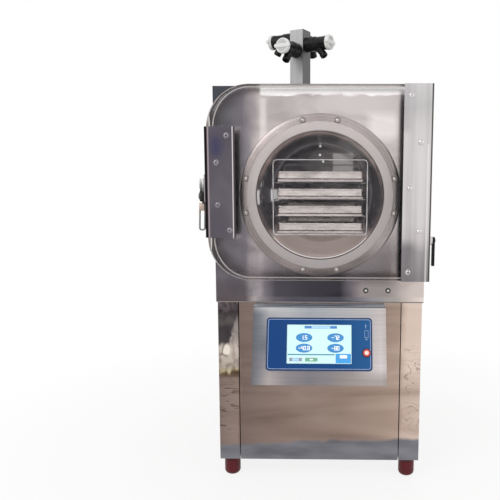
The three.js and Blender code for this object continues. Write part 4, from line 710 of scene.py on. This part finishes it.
def bridge(bm, rings, closed=False, index=0):
    """Faces between each ring and the next. A ring of one point closes to a tip."""
    pairs = list(zip(rings, rings[1:])) + ([(rings[-1], rings[0])] if closed else [])
    for a, b in pairs:
        count = max(len(a), len(b))
        for i in range(count):
            j = (i + 1) % count
            corners = [a[i % len(a)], a[j % len(a)], b[j % len(b)], b[i % len(b)]]
            kept = [v for n, v in enumerate(corners) if v not in corners[:n]]
            if len(kept) > 2:
                bm.faces.new(kept).material_index = index


def lathe(bm, profile, matrix, segments=64, closed=False, index=0):
    """Turns (radius, height) points about the matrix's Z axis."""
    rows = [(ring(radius, segments if radius > 1e-4 else 1), height) for radius, height in profile]
    bridge(bm, levels(bm, rows, matrix), closed, index)


def sweep(bm, path, radius, sides=14, closed=False):
    """A round bar along a path."""
    rings, normal = [], None
    for i, here in enumerate(path):
        here = Vector(here)
        before = Vector(path[i - 1]) if closed or i else here
        after = Vector(path[(i + 1) % len(path)]) if closed or i + 1 < len(path) else here
        along = (after - before).normalized()
        if normal is None:
            normal = along.orthogonal().normalized()
        normal = (normal - along * normal.dot(along)).normalized()
        side = along.cross(normal)
        rings.append(put(bm, [here + c * normal + s * side for c, s in ring(radius, sides)]))
    bridge(bm, rings, closed)
    if not closed:
        for end in (rings[0], rings[-1]):
            bm.faces.new(end)


def round_edges(bm, edges, width, steps=2):
    sharp = [e for e in edges if len(e.link_faces) == 2 and e.calc_face_angle(0) > math.radians(30)]
    bmesh.ops.bevel(
        bm, geom=sharp, offset=width * MM, offset_type="OFFSET", segments=steps, profile=0.5,
        affect="EDGES", clamp_overlap=True,
    )


def prism(bm, outline, low, high, matrix, bevel=0.0, steps=2, index=0):
    """An outline (u, v) carried along the matrix's Z axis from low to high, with its sharp edges rounded."""
    before = set(bm.faces)
    ends = levels(bm, ((outline, low), (outline, high)), matrix)
    bm.faces.new(ends[0])
    bm.faces.new(list(reversed(ends[1])))
    bridge(bm, ends)
    made = [f for f in bm.faces if f not in before]
    for face in made:
        face.material_index = index
    if bevel:
        bmesh.ops.recalc_face_normals(bm, faces=made)
        round_edges(bm, {e for f in made for e in f.edges}, bevel, steps)


def band(bm, face, half_x, half_y, radius, width, z, index):
    """A thin flat line round a rounded rectangle."""
    outer = rounded(half_x, half_y, radius, 8)
    inner = rounded(half_x - width, half_y - width, max(radius - width, 0.5), 8)
    rows = ((outer, z - 0.2), (outer, z), (inner, z), (inner, z - 0.2))
    bridge(bm, levels(bm, rows, face), closed=True, index=index)


def bolt_head(bm, matrix, diameter, height, index=0):
    """A button-head bolt on a washer, with a round socket, along the matrix's Z axis."""
    shares = (  # of its radius and height
        (1, 0), (1, 0.12), (0.86, 0.12), (0.86, 0.45), (0.8, 0.72), (0.62, 0.93), (0.46, 1), (0.4, 1),
        (0.38, 0.5), (0, 0.45),
    )
    lathe(bm, [(r * diameter / 2, h * height) for r, h in shares], matrix, 24, index=index)


def weld(bm, gap=1e-6):
    bmesh.ops.remove_doubles(bm, verts=bm.verts[:], dist=gap)


def flatten(bm):
    bmesh.ops.dissolve_limit(bm, angle_limit=math.radians(1), verts=bm.verts[:], edges=bm.edges[:])


def copied(name):
    """The mesh of a CAD node, to work on."""
    bm = bmesh.new()
    bm.from_mesh(nodes[name].data)
    weld(bm, 1e-5)
    for face in bm.faces:
        face.material_index = 0
    return bm


def finish_mesh(name, bm, *finishes, smooth=35):
    bmesh.ops.recalc_face_normals(bm, faces=bm.faces[:])
    mesh = bpy.data.meshes.new(name)
    bm.to_mesh(mesh)
    bm.free()
    for polygon in mesh.polygons:
        polygon.use_smooth = True
    mesh.set_sharp_from_angle(angle=math.radians(smooth))
    obj = bpy.data.objects.new(name, mesh)
    scene.collection.objects.link(obj)
    for look in finishes:
        mesh.materials.append(looks[look])
    return obj


def settle(obj, body, slot, *replaced):
    """The piece rides on its body and stands for the CAD nodes named, which it hides. Its slot is not used."""
    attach(obj, body)
    if replaced:
        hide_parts(*replaced)


def stand_in(obj, *replaced):
    """The piece takes the place of these CAD nodes, on their body."""
    settle(obj, body_of[replaced[0]], slot_of[replaced[0]], *replaced)


def dress(name, width, look, steps=2):
    """A copy of a CAD node with its sharp edges rounded a little."""
    bm = copied(name)
    flatten(bm)
    round_edges(bm, bm.edges[:], width, steps)
    obj = finish_mesh(name + "_dressed", bm, look, smooth=50)
    # large faces stay flat beside their rounded edges
    obj.modifiers.new("level", "WEIGHTED_NORMAL").keep_sharp = True
    stand_in(obj, name)


# ---------------------------------------------------------------- lower cabinet and housing


def build_foot(name):
    """A rubber foot with a domed underside, and a dark neck where it meets the cabinet."""
    low, high = limits(name)
    centre = moved(Matrix(), (low.x + high.x) / 2, (low.y + high.y) / 2, 0)
    pad, radius, top = 9, (high.y - low.y) / 2, high.z
    dome, neck, groove = radius - pad, 0.97 * radius, top - 4.6
    profile = [(0, 0)] + [(pad + s, dome - c) for c, s in arc(dome, 0, 90, 12)]
    bm = bmesh.new()
    lathe(bm, profile + [(radius, groove - 0.4), (neck, groove)], centre)
    lathe(bm, [(neck, groove), (neck, top), (0, top)], centre, index=1)
    weld(bm)
    stand_in(finish_mesh(name + "_dome", bm, "red_rubber", "foot_rim"), name)


def panel_screws(name, places, direction, washer=0):
    """Screws in a panel, on dark washers if a washer's diameter is given."""
    screw, edge, crown = 7, 0.5, 0.8  # the screw's diameter, and how high a washer is outside and inside
    bm = bmesh.new()
    for place in places:
        bolt_head(bm, facing(place, direction), screw, 0.35 * screw)
        if washer:
            outline = [(screw / 2, 0), (washer / 2, 0), (washer / 2, edge), (screw / 2, crown)]
            lathe(bm, outline, facing(place, direction), 24, closed=True, index=1)
    settle(finish_mesh(name, bm, "bolt_steel", "black_paint"), "root", "bright_steel")


def rear_screws(name, panel, inset, rise, middle=()):
    """Screws along the top and the foot of a rear panel: at its ends, and at shares of its half width."""
    low, high = limits(panel)
    columns = [low.x + inset, *(share * low.x for share in middle)]
    columns += [*(share * high.x for share in middle), high.x - inset]
    panel_screws(name, [(x, high.y, z) for x in columns for z in (low.z + rise, high.z - rise)], BACK)


for name in ("foot_front_left", "foot_front_right", "foot_rear_left", "foot_rear_right"):
    build_foot(name)

SHEET_EDGE = 0.45
for look, names in (
    ("cabinet_steel", ("side_panel_left", "side_panel_right", "lower_front_panel")),
    ("rear_steel", ("lower_rear_panel", "mid_deck", "base_pan", "housing_rear_panel")),
    ("housing_side", ("housing_shell",)),
    ("housing_steel", ("housing_front_plate",)),
):
    for name in names:
        dress(name, SHEET_EDGE, look)

plate = limits("housing_front_plate")[0]
panel_screws("front_plate_screws", [(x, plate.y, plate.z + 28) for x in (112, 166)], FRONT, 13)
rear_screws("rear_panel_screws", "housing_rear_panel", 12, 12, (0.5,))
rear_screws("lower_rear_screws", "lower_rear_panel", 30, 14)

# ---------------------------------------------------------------- vacuum chamber


def around_chamber(y):
    """A frame on the chamber's axis, whose Z axis points to the back."""
    return facing((chamber.x / MM, y, chamber.z / MM), BACK)


def build_chamber():
    low, high = limits("chamber_drum")
    outer, depth = (high.x - low.x) / 2, high.y - low.y
    wall, bore, bend = 3, 17.5, 22
    inner, floor = outer - wall, depth - wall
    corner = [(inner - bend + c, floor - bend + s) for c, s in arc(bend, 0, 90, 8)]
    bm = bmesh.new()
    profile = [(inner, 0), *corner, (bore, floor), (bore, depth), (outer, depth), (outer, 0)]
    lathe(bm, profile, around_chamber(low.y), 128, closed=True)
    stand_in(finish_mesh("drum", bm, "drum_steel"), "chamber_drum")

    low, high = limits("chamber_flange")
    bolt_rise = 3.2  # how far the bolts stand out of the ring's face
    bolt_circle, spread, chamfer = 179, 13, 1.5
    washer = [(5, 0), (7.5, 0), (7.5, 0.4), (5, 0.4)]
    rim, front = (high.x - low.x) / 2, low.y + bolt_rise
    thick = high.y - front
    profile = [
        (inner, thick), (inner, chamfer), (inner + chamfer, 0), (rim - 2 * chamfer, 0),
        (rim - chamfer, 0.4 * chamfer), (rim, 1.6 * chamfer), (rim, thick),
    ]
    bm = bmesh.new()
    lathe(bm, profile, around_chamber(front), 160, closed=True)
    for side in (0, 90, 180, 270):
        for x, z in arc(bolt_circle, side - spread, side + spread, 1):
            place = facing((chamber.x / MM + x, front, chamber.z / MM + z), FRONT)
            bolt_head(bm, place, 11, bolt_rise, index=1)
            lathe(bm, washer, place, 24, index=2)
    stand_in(finish_mesh("flange", bm, "flange_steel", "flange_bolt", "washer_steel"), "chamber_flange")

    low, high = limits("door_gasket")
    rim, thick = (high.x - low.x) / 2, high.y - low.y
    bm = bmesh.new()
    profile = eased([(inner + 1, 0), (rim, 0), (rim, thick), (inner + 1, thick)], 1.6, 4)
    lathe(bm, profile, around_chamber(low.y), 160, closed=True)
    stand_in(finish_mesh("gasket", bm, "gasket_silicone"), "door_gasket")


def build_rack():
    """A rack of round wire: a frame at each end, and under each shelf two rails and two cross bars."""
    low, high = limits("shelf_rack")
    bar, wire, rail, corner = 2, 1.6, 1.4, 11.2  # half the CAD bar, then the radii
    gap, front, rear = 0.3, 62, 58  # under a shelf, and to its cross bars from the front and the rear
    x0, x1, z0, z1 = low.x + bar, high.x - bar, low.z + bar, high.z - bar
    bm = bmesh.new()
    for y in (low.y + bar, high.y - bar):
        sweep(bm, eased([(x0, y, z0), (x1, y, z0), (x1, y, z1), (x0, y, z1)], corner, 6), wire, closed=True)
    for n in range(1, 5):
        shelf_low, shelf_high = limits(f"shelf_{n}")
        z = shelf_low.z - gap - bar
        for x in (x0, x1):
            sweep(bm, [(x, low.y + bar, z), (x, high.y - bar, z)], rail)
        for y in (shelf_low.y + front, shelf_high.y - rear):
            sweep(bm, [(x0, y, z), (x1, y, z)], wire)
    stand_in(finish_mesh("rack_wires", bm, "wire_steel"), "shelf_rack")


def build_tray(n):
    """A pressed tray with rounded corners and a rolled rim."""
    low, high = limits(f"tray_{n}")
    wider, wall, bead, corner, foot = 5, 1, 1.3, 9, 2
    middle = (low + high) / 2
    x, y = (high.x - low.x) / 2 + wider, (high.y - low.y) / 2
    rim = high.z - bead
    sections = [  # how far inside the outline, and how high
        (foot + wall, low.z), (wall, low.z + foot), (wall, rim - bead - 2.6), (wall + 0.7, rim - bead - 1.8),
        (wall + 0.7, rim - bead), *((bead - c, rim + s) for c, s in arc(bead, -63, 180, 8)),
        (2.2 * bead, low.z + foot), (2.2 * bead + foot, low.z + wall),
    ]
    rows = [(rounded(x - i, y - i, max(corner - i, 1), 5, middle), height) for i, height in sections]
    bm = bmesh.new()
    rings = levels(bm, rows)
    bridge(bm, rings)
    bm.faces.new(rings[0])
    bm.faces.new(rings[-1])
    stand_in(finish_mesh(f"tray_{n}_pressed", bm, "tray_steel"), f"tray_{n}")


build_chamber()
build_rack()
for n in range(1, 5):
    dress(f"shelf_{n}", 0.9, "shelf_steel")
    build_tray(n)

# ---------------------------------------------------------------- door, hinge and latch


def build_pane():
    """The clear pane, with round corners on the latch side. Its edge is cut back to the front by a wide chamfer,
    tinted darker as painted shade, with a pale line of painted highlight along each of its two sides."""
    low, high = limits("door_pane")
    corner, side, rim, line, ease = 100, 15, 7, 3, 0.8
    bm = bmesh.new()
    rings = []
    for left, level, y in (  # taken in at the left, taken in above and below, and where
        (ease, ease, high.y), (0, 0, high.y - ease), (0, 0, low.y + rim),
        (0.2 * side, 0.2 * rim, low.y + 0.8 * rim), (side, rim, low.y),
        (side + line, rim + 0.7 * line, low.y),
    ):
        across, up = corner - left, corner - level
        points = []
        for z, start in ((high.z - corner, 90), (low.z + corner, 180)):
            quarter = arc(1, start, start + 90, 24)
            points += [(low.x + corner + across * c, y, z + up * s) for c, s in quarter]
        points += [(high.x, y, low.z + level), (high.x, y, high.z - level)]
        rings.append(put(bm, points))
    bm.faces.new(rings[0])
    bm.faces.new(rings[-1])
    for n, index in enumerate((0, 3, 2, 1, 2)):
        bridge(bm, rings[n : n + 2], index=index)
    pane = finish_mesh("door_acrylic", bm, "acrylic", "acrylic_edge", "acrylic_line", "acrylic_side")
    stand_in(pane, "door_pane")


def plate_bolts(plate, width, look, shares):
    """Bolts on a plate, at shares of a width from its left edge and of its height."""
    low, high = limits(plate)
    face = low.y + 4.2  # the CAD plate's own bolts stand that far out of it
    bm = bmesh.new()
    for across, up in shares:
        place = (low.x + across * width, face, low.z + up * (high.z - low.z))
        bolt_head(bm, facing(place, FRONT), 14, 5)
    settle(finish_mesh(plate + "_bolts", bm, look), "door", "bright_steel")


def build_hook():
    """The latch hook's body with a black block on it, and a finger loop of round wire below its ear."""
    low, high = limits("latch_hook")
    pivot = Vector(joints["latch_pivot"]["pos_m"]) / MM
    half, rest = (high.x - low.x) / 2, math.radians(-7)
    place = moved(Matrix(), (low.x + high.x) / 2, pivot.y, pivot.z) @ Matrix.Rotation(rest, 4, "X")
    bm = copied("latch_hook")
    everything = bm.verts[:] + bm.edges[:] + bm.faces[:]
    ear_length = 33.9
    ear, down = at(place, 0, 0, -ear_length) * MM, place.to_3x3() @ Vector((0, 0, -1))
    cut = bmesh.ops.bisect_plane(bm, geom=everything, plane_co=ear, plane_no=down, clear_outer=True)
    bmesh.ops.holes_fill(bm, edges=[e for e in cut["geom_cut"] if isinstance(e, bmesh.types.BMEdge)])
    flatten(bm)
    round_edges(bm, bm.edges[:], 0.8, 3)
    left, step, top, foot, half_thick = -half + 0.8, 5, 18, -17.5, 4.5
    block = [(left, top), (left, 6), (left + step, -4), (left + step, foot), (half, foot), (half, top)]
    across = place @ Matrix.Rotation(math.radians(90), 4, "X")
    prism(bm, block, -half_thick, half_thick, across, 0.5, index=1)
    loop, wire, start, end = 6, 2.1, -32, -78.6
    path = [(-loop, 0, start), (-loop, 0, end), (loop, 0, end), (loop, 0, start)]
    sweep(bm, [at(place, *point) for point in eased(path, loop, 7, closed=False)], wire, 12)
    stand_in(finish_mesh("hook_and_loop", bm, "hook_steel", "black_paint"), "latch_hook")


build_pane()
for name, width, look in (
    ("hinge_plate", 0.6, "hinge_steel"), ("hinge_bracket", 0.5, "hinge_steel"),
    ("hinge_pin", 0.4, "bright_steel"), ("latch_plate", 0.6, "latch_steel"),
):
    dress(name, width, look)
hinge_shares = ((0.24, 0.94), (0.6, 0.71), (0.24, 0.48), (0.6, 0.26), (0.24, 0.05))
plate_bolts("hinge_plate", 66, "bolt_steel", hinge_shares)
latch_low, latch_high = limits("latch_plate")
latch_shares = ((0.73, 0.92), (0.39, 0.68), (0.42, 0.3), (0.8, 0.07))
plate_bolts("latch_plate", latch_high.x - latch_low.x, "grey_bolt", latch_shares)
for name, width, look in (
    ("latch_base", 0.6, "grey_bolt"), ("latch_keeper", 0.6, "bright_steel"),
    ("latch_friction_disc", 0.8, "black_paint"),
):
    dress(name, width, look)
build_hook()

# ---------------------------------------------------------------- touch console

PLATE_THICK = 1.5  # half of the blue plate's
VIEW_X, VIEW_Y = 76.2, 45.7  # half of the screen's window

SCREEN_LOOKS = (
    "screen_glass", "screen_blue", "screen_title", "screen_pale", "screen_teal", "screen_grey",
    "screen_green", "screen_cyan", "screen_white",
)
BARS = (  # look, left, right, top and bottom as shares of the screen, and layer
    ("screen_title", 0.27, 0.775, 0.03, 0.1, 1), ("screen_pale", 0.38, 0.67, 0.035, 0.095, 2),
    ("screen_teal", 0.015, 0.74, 0.755, 0.785, 1), ("screen_grey", 0.04, 0.235, 0.855, 0.94, 1),
    ("screen_pale", 0.085, 0.19, 0.865, 0.93, 2), ("screen_green", 0.285, 0.475, 0.85, 0.945, 1),
    ("screen_white", 0.355, 0.405, 0.88, 0.915, 2), ("screen_cyan", 0.755, 0.99, 0.745, 0.985, 1),
    ("screen_white", 0.82, 0.93, 0.78, 0.86, 2), ("screen_blue", 0.76, 0.985, 0.865, 0.872, 2),
)
READINGS = ((0.266, 0.333, "1.5"), (0.752, 0.333, "-72"), (0.266, 0.605, "-40.8"), (0.752, 0.605, "-80"))

# Strokes of a seven-segment figure, from (0, 0) to (1, 2)
STROKES = {
    "a": ((0, 2), (1, 2)), "b": ((1, 2), (1, 1)), "c": ((1, 1), (1, 0)), "d": ((0, 0), (1, 0)),
    "e": ((0, 0), (0, 1)), "f": ((0, 1), (0, 2)), "g": ((0, 1), (1, 1)),
}
FIGURES = {
    "0": "abcdef", "1": "bc", "2": "abged", "4": "fgbc", "5": "afgcd", "7": "abc", "8": "abcdefg", "-": "g",
}


def console_frame():
    """A frame on the sloped face: X to the right, Y up the face and Z out of it."""
    outward, right = -Vector(joints["button_press"]["axis"]), Vector((1, 0, 0))
    low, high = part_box("console_bezel")
    rotation = Matrix((right, outward.cross(right), outward)).transposed().to_4x4()
    return Matrix.Translation((low + high) / 2) @ rotation


def build_bezel(face):
    """The blue plate, a ring round the screen, and the pale line and dark edge on it."""
    half_x, half_y, corner, edge, thick = 124.5, 62, 8, 0.7, PLATE_THICK
    outer = rounded(half_x, half_y, corner, 8)
    inset = rounded(half_x - edge, half_y - edge, corner - edge, 8)
    inner = rounded(VIEW_X, VIEW_Y, 1, 8)
    bm = bmesh.new()
    rows = ((inner, -thick), (outer, -thick), (outer, thick - edge), (inset, thick), (inner, thick))
    bridge(bm, levels(bm, rows, face), closed=True)
    stand_in(finish_mesh("bezel_plate", bm, "blue_panel"), "console_bezel")

    bm = bmesh.new()
    band(bm, face, half_x - 0.2, half_y - 0.2, corner, 2.4, thick + 0.05, 1)
    band(bm, face, half_x - 3.8, half_y - 3.8, corner - 2, 1.1, thick + 0.08, 0)
    settle(finish_mesh("bezel_lines", bm, "panel_line", "blue_edge"), "root", "blue_panel")


def build_screen(face):
    """The touch glass with its bars, four ovals and a reading in each."""
    gap, sunk, layer, film = 0.3, 1.3, 0.12, 0.1
    top = PLATE_THICK - sunk
    width, height = 2 * (VIEW_X - gap), 2 * (VIEW_Y - gap)
    bm = bmesh.new()
    prism(bm, rounded(width / 2, height / 2, 0.8, 3), top - 3, top, face)

    def spot(u, v):
        return (u - 0.5) * width, (0.5 - v) * height

    def flat(points, look, lift):
        z = top + layer * lift
        prism(bm, points, z - film, z, face, index=SCREEN_LOOKS.index(look))

    def stroke(x0, y0, x1, y1, thick):
        middle = ((x0 + x1) / 2, (y0 + y1) / 2)
        half_x, half_y = (abs(x1 - x0) + thick) / 2, (abs(y1 - y0) + thick) / 2
        corners = ((-1, -1), (1, -1), (1, 1), (-1, 1))
        flat([(middle[0] + u * half_x, middle[1] + v * half_y) for u, v in corners], "screen_white", 3)

    def number(text, x, y, size):
        step, wide, thick, dot = 0.95 * size, 0.62 * size, 0.22 * size, 0.45
        start = x - step * sum(dot if c == "." else 1 for c in text) / 2 + (step - wide) / 2
        for letter in text:
            if letter == ".":
                stroke(start, y - wide, start, y - wide, 1.1 * thick)
                start += step * dot
                continue
            for part in FIGURES[letter]:
                (a, b), (c, d) = STROKES[part]
                stroke(start + a * wide, y + (b - 1) * wide, start + c * wide, y + (d - 1) * wide, thick)
            start += step

    for look, left, right, upper, lower, lift in BARS:
        centre = spot((left + right) / 2, (upper + lower) / 2)
        half_x, half_y = (right - left) * width / 2, (lower - upper) * height / 2
        flat(rounded(half_x, half_y, 0.6 if half_y > 0.6 else 0.2, 3, centre), look, lift)
    for u, v, text in READINGS:
        x, y = spot(u, v)
        flat([(x + 0.128 * width * c, y + 0.115 * height * s) for c, s in ring(1, 40)], "screen_blue", 1)
        number(text, x, y, 6.6)
    stand_in(finish_mesh("screen", bm, *SCREEN_LOOKS), "touch_display")


def build_fittings(face):
    """The red button, and beside it a collar, a socket with its frame and ticks, and a small mark."""
    across, along, radius, proud = 111, -20, 9, 4
    centre = moved(face, across, along, PLATE_THICK)
    dish = (0.56 * radius, proud - 0.5)
    cap = [
        (0, -8), (radius, -8), (radius, 0.6), (radius, proud - 1.6), (0.94 * radius, proud - 0.6),
        (0.8 * radius, proud), (0.62 * radius, proud), dish,
    ]
    bm = bmesh.new()
    lathe(bm, cap, centre, 48)
    lathe(bm, [dish, (0.3 * radius, proud - 0.25), (0, proud - 0.2)], centre, 48, index=1)
    weld(bm)
    stand_in(finish_mesh("button_cap", bm, "red_button", "button_glow"), "power_button")

    # the collar round the button and the socket's box take a near-black painted shade for their gaps
    bm = bmesh.new()
    collar = [(radius + 0.4, -0.1), (radius + 1.3, -0.1), (radius + 1.1, 0.4), (radius + 0.5, 0.4)]
    lathe(bm, collar, centre, 48, closed=True, index=1)
    half_x, half_y, socket_y = 3.4, 7.4, 24
    place = moved(face, across, socket_y, 0)
    prism(bm, rounded(half_x, half_y, 0.6, 3), -4, -1, place, index=1)
    prism(bm, rounded(1.1, 5.6, 0.3, 2), -1.5, PLATE_THICK - 0.5, place)
    band(bm, place, half_x + 1, half_y + 1, 1, 0.8, PLATE_THICK + 0.15, 2)
    film, lift = -0.15, PLATE_THICK + 0.06
    for rise in (-13.5, -11.5):
        tick = moved(face, across, socket_y + rise, lift)
        prism(bm, rounded(2.6, 0.35, 0.2, 2), film, 0, tick, index=2)
    mark = moved(face, across - 2, socket_y + 17, lift)
    for outline in (
        ((-0.35, -4.5), (0.35, -4.5), (0.35, 4), (-0.35, 4)),
        ((-1.6, 3), (1.6, 3), (0, 6)),
        ((0, -2.2), (2.6, 0.2), (2.6, 1.4), (2, 1.4), (2, 0.5), (0, -1.4)),
    ):
        prism(bm, outline, film, 0, mark, index=2)
    settle(finish_mesh("panel_fittings", bm, "red_button", "dark_gap", "panel_line"), "root", "blue_panel")


dress("console_housing", 0.8, "console_steel", 3)
sloped = console_frame()
build_bezel(sloped)
build_screen(sloped)
build_fittings(sloped)

# ---------------------------------------------------------------- flask manifold


def build_valve(n, centre, outward):
    """Black moulded valve: a barrel with a groove and a step, and a nipple that slants down and out."""
    seat, nose, thick, thin = 18.3, 74.3, 17, 15.5
    step, groove = seat + 27, 0.7
    barrel = [
        (0, seat), (thick - 0.8, seat), (thick, seat + 0.8), (thick, seat + 10),
        (thick - groove, seat + 10.8), (thick - groove, seat + 12.2), (thick, seat + 13),
        (thick, step - 1.2), (thin, step + 0.6), (thin, nose - 7), (thin + 0.6, nose - 6),
        (thin + 0.6, nose - 1), (thin, nose), (0, nose),
    ]
    bm = bmesh.new()
    lathe(bm, barrel, centre)
    length, outer, bore, tilt = 38, 9, 5.5, math.radians(35)
    nipple = [
        (0, 0), (outer, 0), (outer, 0.62 * length), (0.9 * outer, 0.66 * length),
        (0.9 * outer, 0.74 * length), (outer, 0.78 * length), (outer, length - 1), (outer - 1, length),
        (bore, length), (bore, 0.6 * length), (0, 0.6 * length),
    ]
    down = Vector((0, 0, -math.cos(tilt))) + outward * math.sin(tilt)
    lathe(bm, nipple, facing(at(centre, 0, 0, step), down), 48)
    stand_in(finish_mesh(f"valve_{n}", bm, "black_plastic"), f"manifold_valve_{n}")


def build_knob(n, centre):
    """White knob: a round cap with a grey face, and a low bar right across it that ends in two ears."""
    seat, front, radius, face = 74.6, 84.6, 17.5, 14
    cap = [
        (0, seat), (radius - 0.6, seat), (radius, seat + 0.6), (radius, front - 3.4),
        (radius - 0.6, front - 1.6), (radius - 2, front - 0.2), (radius - 2.8, front), (face, front - 0.2),
        (face - 0.5, front - 1),
    ]
    bm = bmesh.new()
    lathe(bm, cap, centre)
    lathe(bm, [(face - 0.5, front - 1), (0, front - 1)], centre, index=1)
    weld(bm)
    prism(bm, rounded(20.5, 4.5, 4), front - 6, front + 0.8, centre, 1, 3)
    lathe(bm, [(0, seat - 8), (5, seat - 8), (5, seat + 1)], centre, 32)
    stand_in(finish_mesh(f"knob_{n}", bm, "white_plastic", "knob_face"), f"valve_knob_{n}")


dress("manifold_mast", 1.2, "mast_steel", 3)
for n in range(1, 5):
    joint = joints[f"valve_turn_{n}"]
    outward = Vector(joint["axis"])
    centre = facing(Vector(joint["pos_m"]) / MM, outward)
    build_valve(n, centre, outward)
    build_knob(n, centre)

# ---------------------------------------------------------------- vent valve, vacuum port and the rest


def build_guard():
    """Six rings of wire on four spokes, with a bolt at the end of each spoke."""
    low, high = limits("fan_guard")
    centre, wire = (low + high) / 2, (high.y - low.y) / 2
    rings, spokes, bolt = 6, 4, 9
    outer = (high.x - low.x) / 2 - wire
    bm = bmesh.new()
    for n in range(rings):
        path = [centre + Vector((u, 0, v)) for u, v in ring(outer * (1 - n / rings), 64)]
        sweep(bm, path, 0.8 * wire, 10, closed=True)
    for u, v in arc(outer, 45, 315, spokes - 1):
        arm = Vector((u, 0, v))
        tip = centre + arm
        sweep(bm, [tip - 0.95 * arm, tip], wire, 10)
        bolt_head(bm, facing(tip, BACK), bolt, wire)
    stand_in(finish_mesh("guard_wires", bm, "bright_steel"), "fan_guard")


for name, width, look, steps in (
    ("vent_valve_body", 0.5, "bright_steel", 2), ("vent_valve_lever", 1.6, "black_plastic", 3),
    ("vacuum_port", 0.6, "port_steel", 2), ("compressor", 1.5, "black_paint", 2),
    ("fan_shroud", 0.5, "black_paint", 2), ("fan_rotor", 0.5, "black_plastic", 2),
    ("condenser", 0.3, "fin_aluminium", 2), ("control_box", 0.4, "grey_enamel", 2),
    ("power_inlet", 0.4, "black_plastic", 2), ("main_switch", 0.4, "red_button", 2),
):
    dress(name, width, look, steps)
build_guard()
for name, look in (("cooling_coil", "copper"), ("drum_insulation", "foam")):
    mesh = nodes[name].data
    mesh.materials.clear()
    mesh.materials.append(looks[look])

# ---------------------------------------------------------------- floor, light and camera


def build_floor():
    """A pale floor that keeps the machine's shadow and runs out into the white behind it."""
    bm = bmesh.new()
    lathe(bm, [(0, 0), (9000, 0)], moved(Matrix(), 0, 1000, -0.5), 96)
    floor = finish_mesh("floor", bm)
    paint = Paint("pale_floor", 0.9)
    paint.body = paint.two(paint.noise(2, 2), "f6f6f5", "fafaf9")
    near, far = 0.5, 1.2  # where most of the white is in place, and where all of it is
    away = paint.measure("LENGTH", paint.vector("MULTIPLY", paint.place, (1, 1, 0)))
    white = paint.add("Emission", {"Color": WHITE, "Strength": 1.0})
    paint.cover(paint.times(paint.seen(), paint.span(away, near, far, 0.84, 1.0)), white)
    floor.data.materials.append(paint.done())


def build_world(ambient):
    """White to whoever looks at it, and a softer light on the machine."""
    world = bpy.data.worlds.new("world")
    scene.world = world
    tree = Tree(world)
    output, backdrop = (world.node_tree.nodes[name] for name in ("World Output", "Background"))
    tree.feed(backdrop.inputs["Color"], WHITE)
    soft = tree.add("Background", {"Color": WHITE, "Strength": ambient})
    mix = tree.add("MixShader", {0: tree.seen(), 1: soft.outputs[0], 2: backdrop.outputs[0]})
    tree.feed(output.inputs["Surface"], mix.outputs[0])


def lamp(name, place, size, power):
    """A square lamp that looks at the machine's middle."""
    data = bpy.data.lights.new(name, "AREA")
    data.shape, data.size, data.energy = "SQUARE", size, power
    obj = bpy.data.objects.new(name, data)
    scene.collection.objects.link(obj)
    obj.location = place
    obj.rotation_euler = (Vector((0, 0, 0.6)) - Vector(place)).to_track_quat("-Z", "Y").to_euler()


def build_camera(place, lens, shift, pitch, yaw, roll):
    """A camera that looks level to the back, then turned by pitch, yaw and roll in degrees."""
    data = bpy.data.cameras.new("camera")
    data.sensor_width, data.lens = 36, lens
    data.shift_x, data.shift_y = shift
    camera = bpy.data.objects.new("camera", data)
    scene.collection.objects.link(camera)
    camera.location = place
    turn = Matrix()
    for angle, axis in ((yaw, "Z"), (90 - pitch, "X"), (roll, "Z")):
        turn = turn @ Matrix.Rotation(math.radians(angle), 4, axis)
    camera.rotation_euler = turn.to_euler()
    scene.camera = camera


build_floor()
build_world(ambient=0.55)
lamp("key", (-1.6, -2.2, 2.4), 1.4, 26)
lamp("fill", (2.2, -1.6, 1.6), 1.6, 12)
lamp("back", (0.4, 2.4, 2.2), 1.6, 16)
build_camera((0.018, -1.7085, 0.736), lens=43.2, shift=(-0.14, 0.02), pitch=7.1, yaw=0.7, roll=0.2)
scene.view_settings.view_transform = "Standard"

bpy.context.view_layer.update()
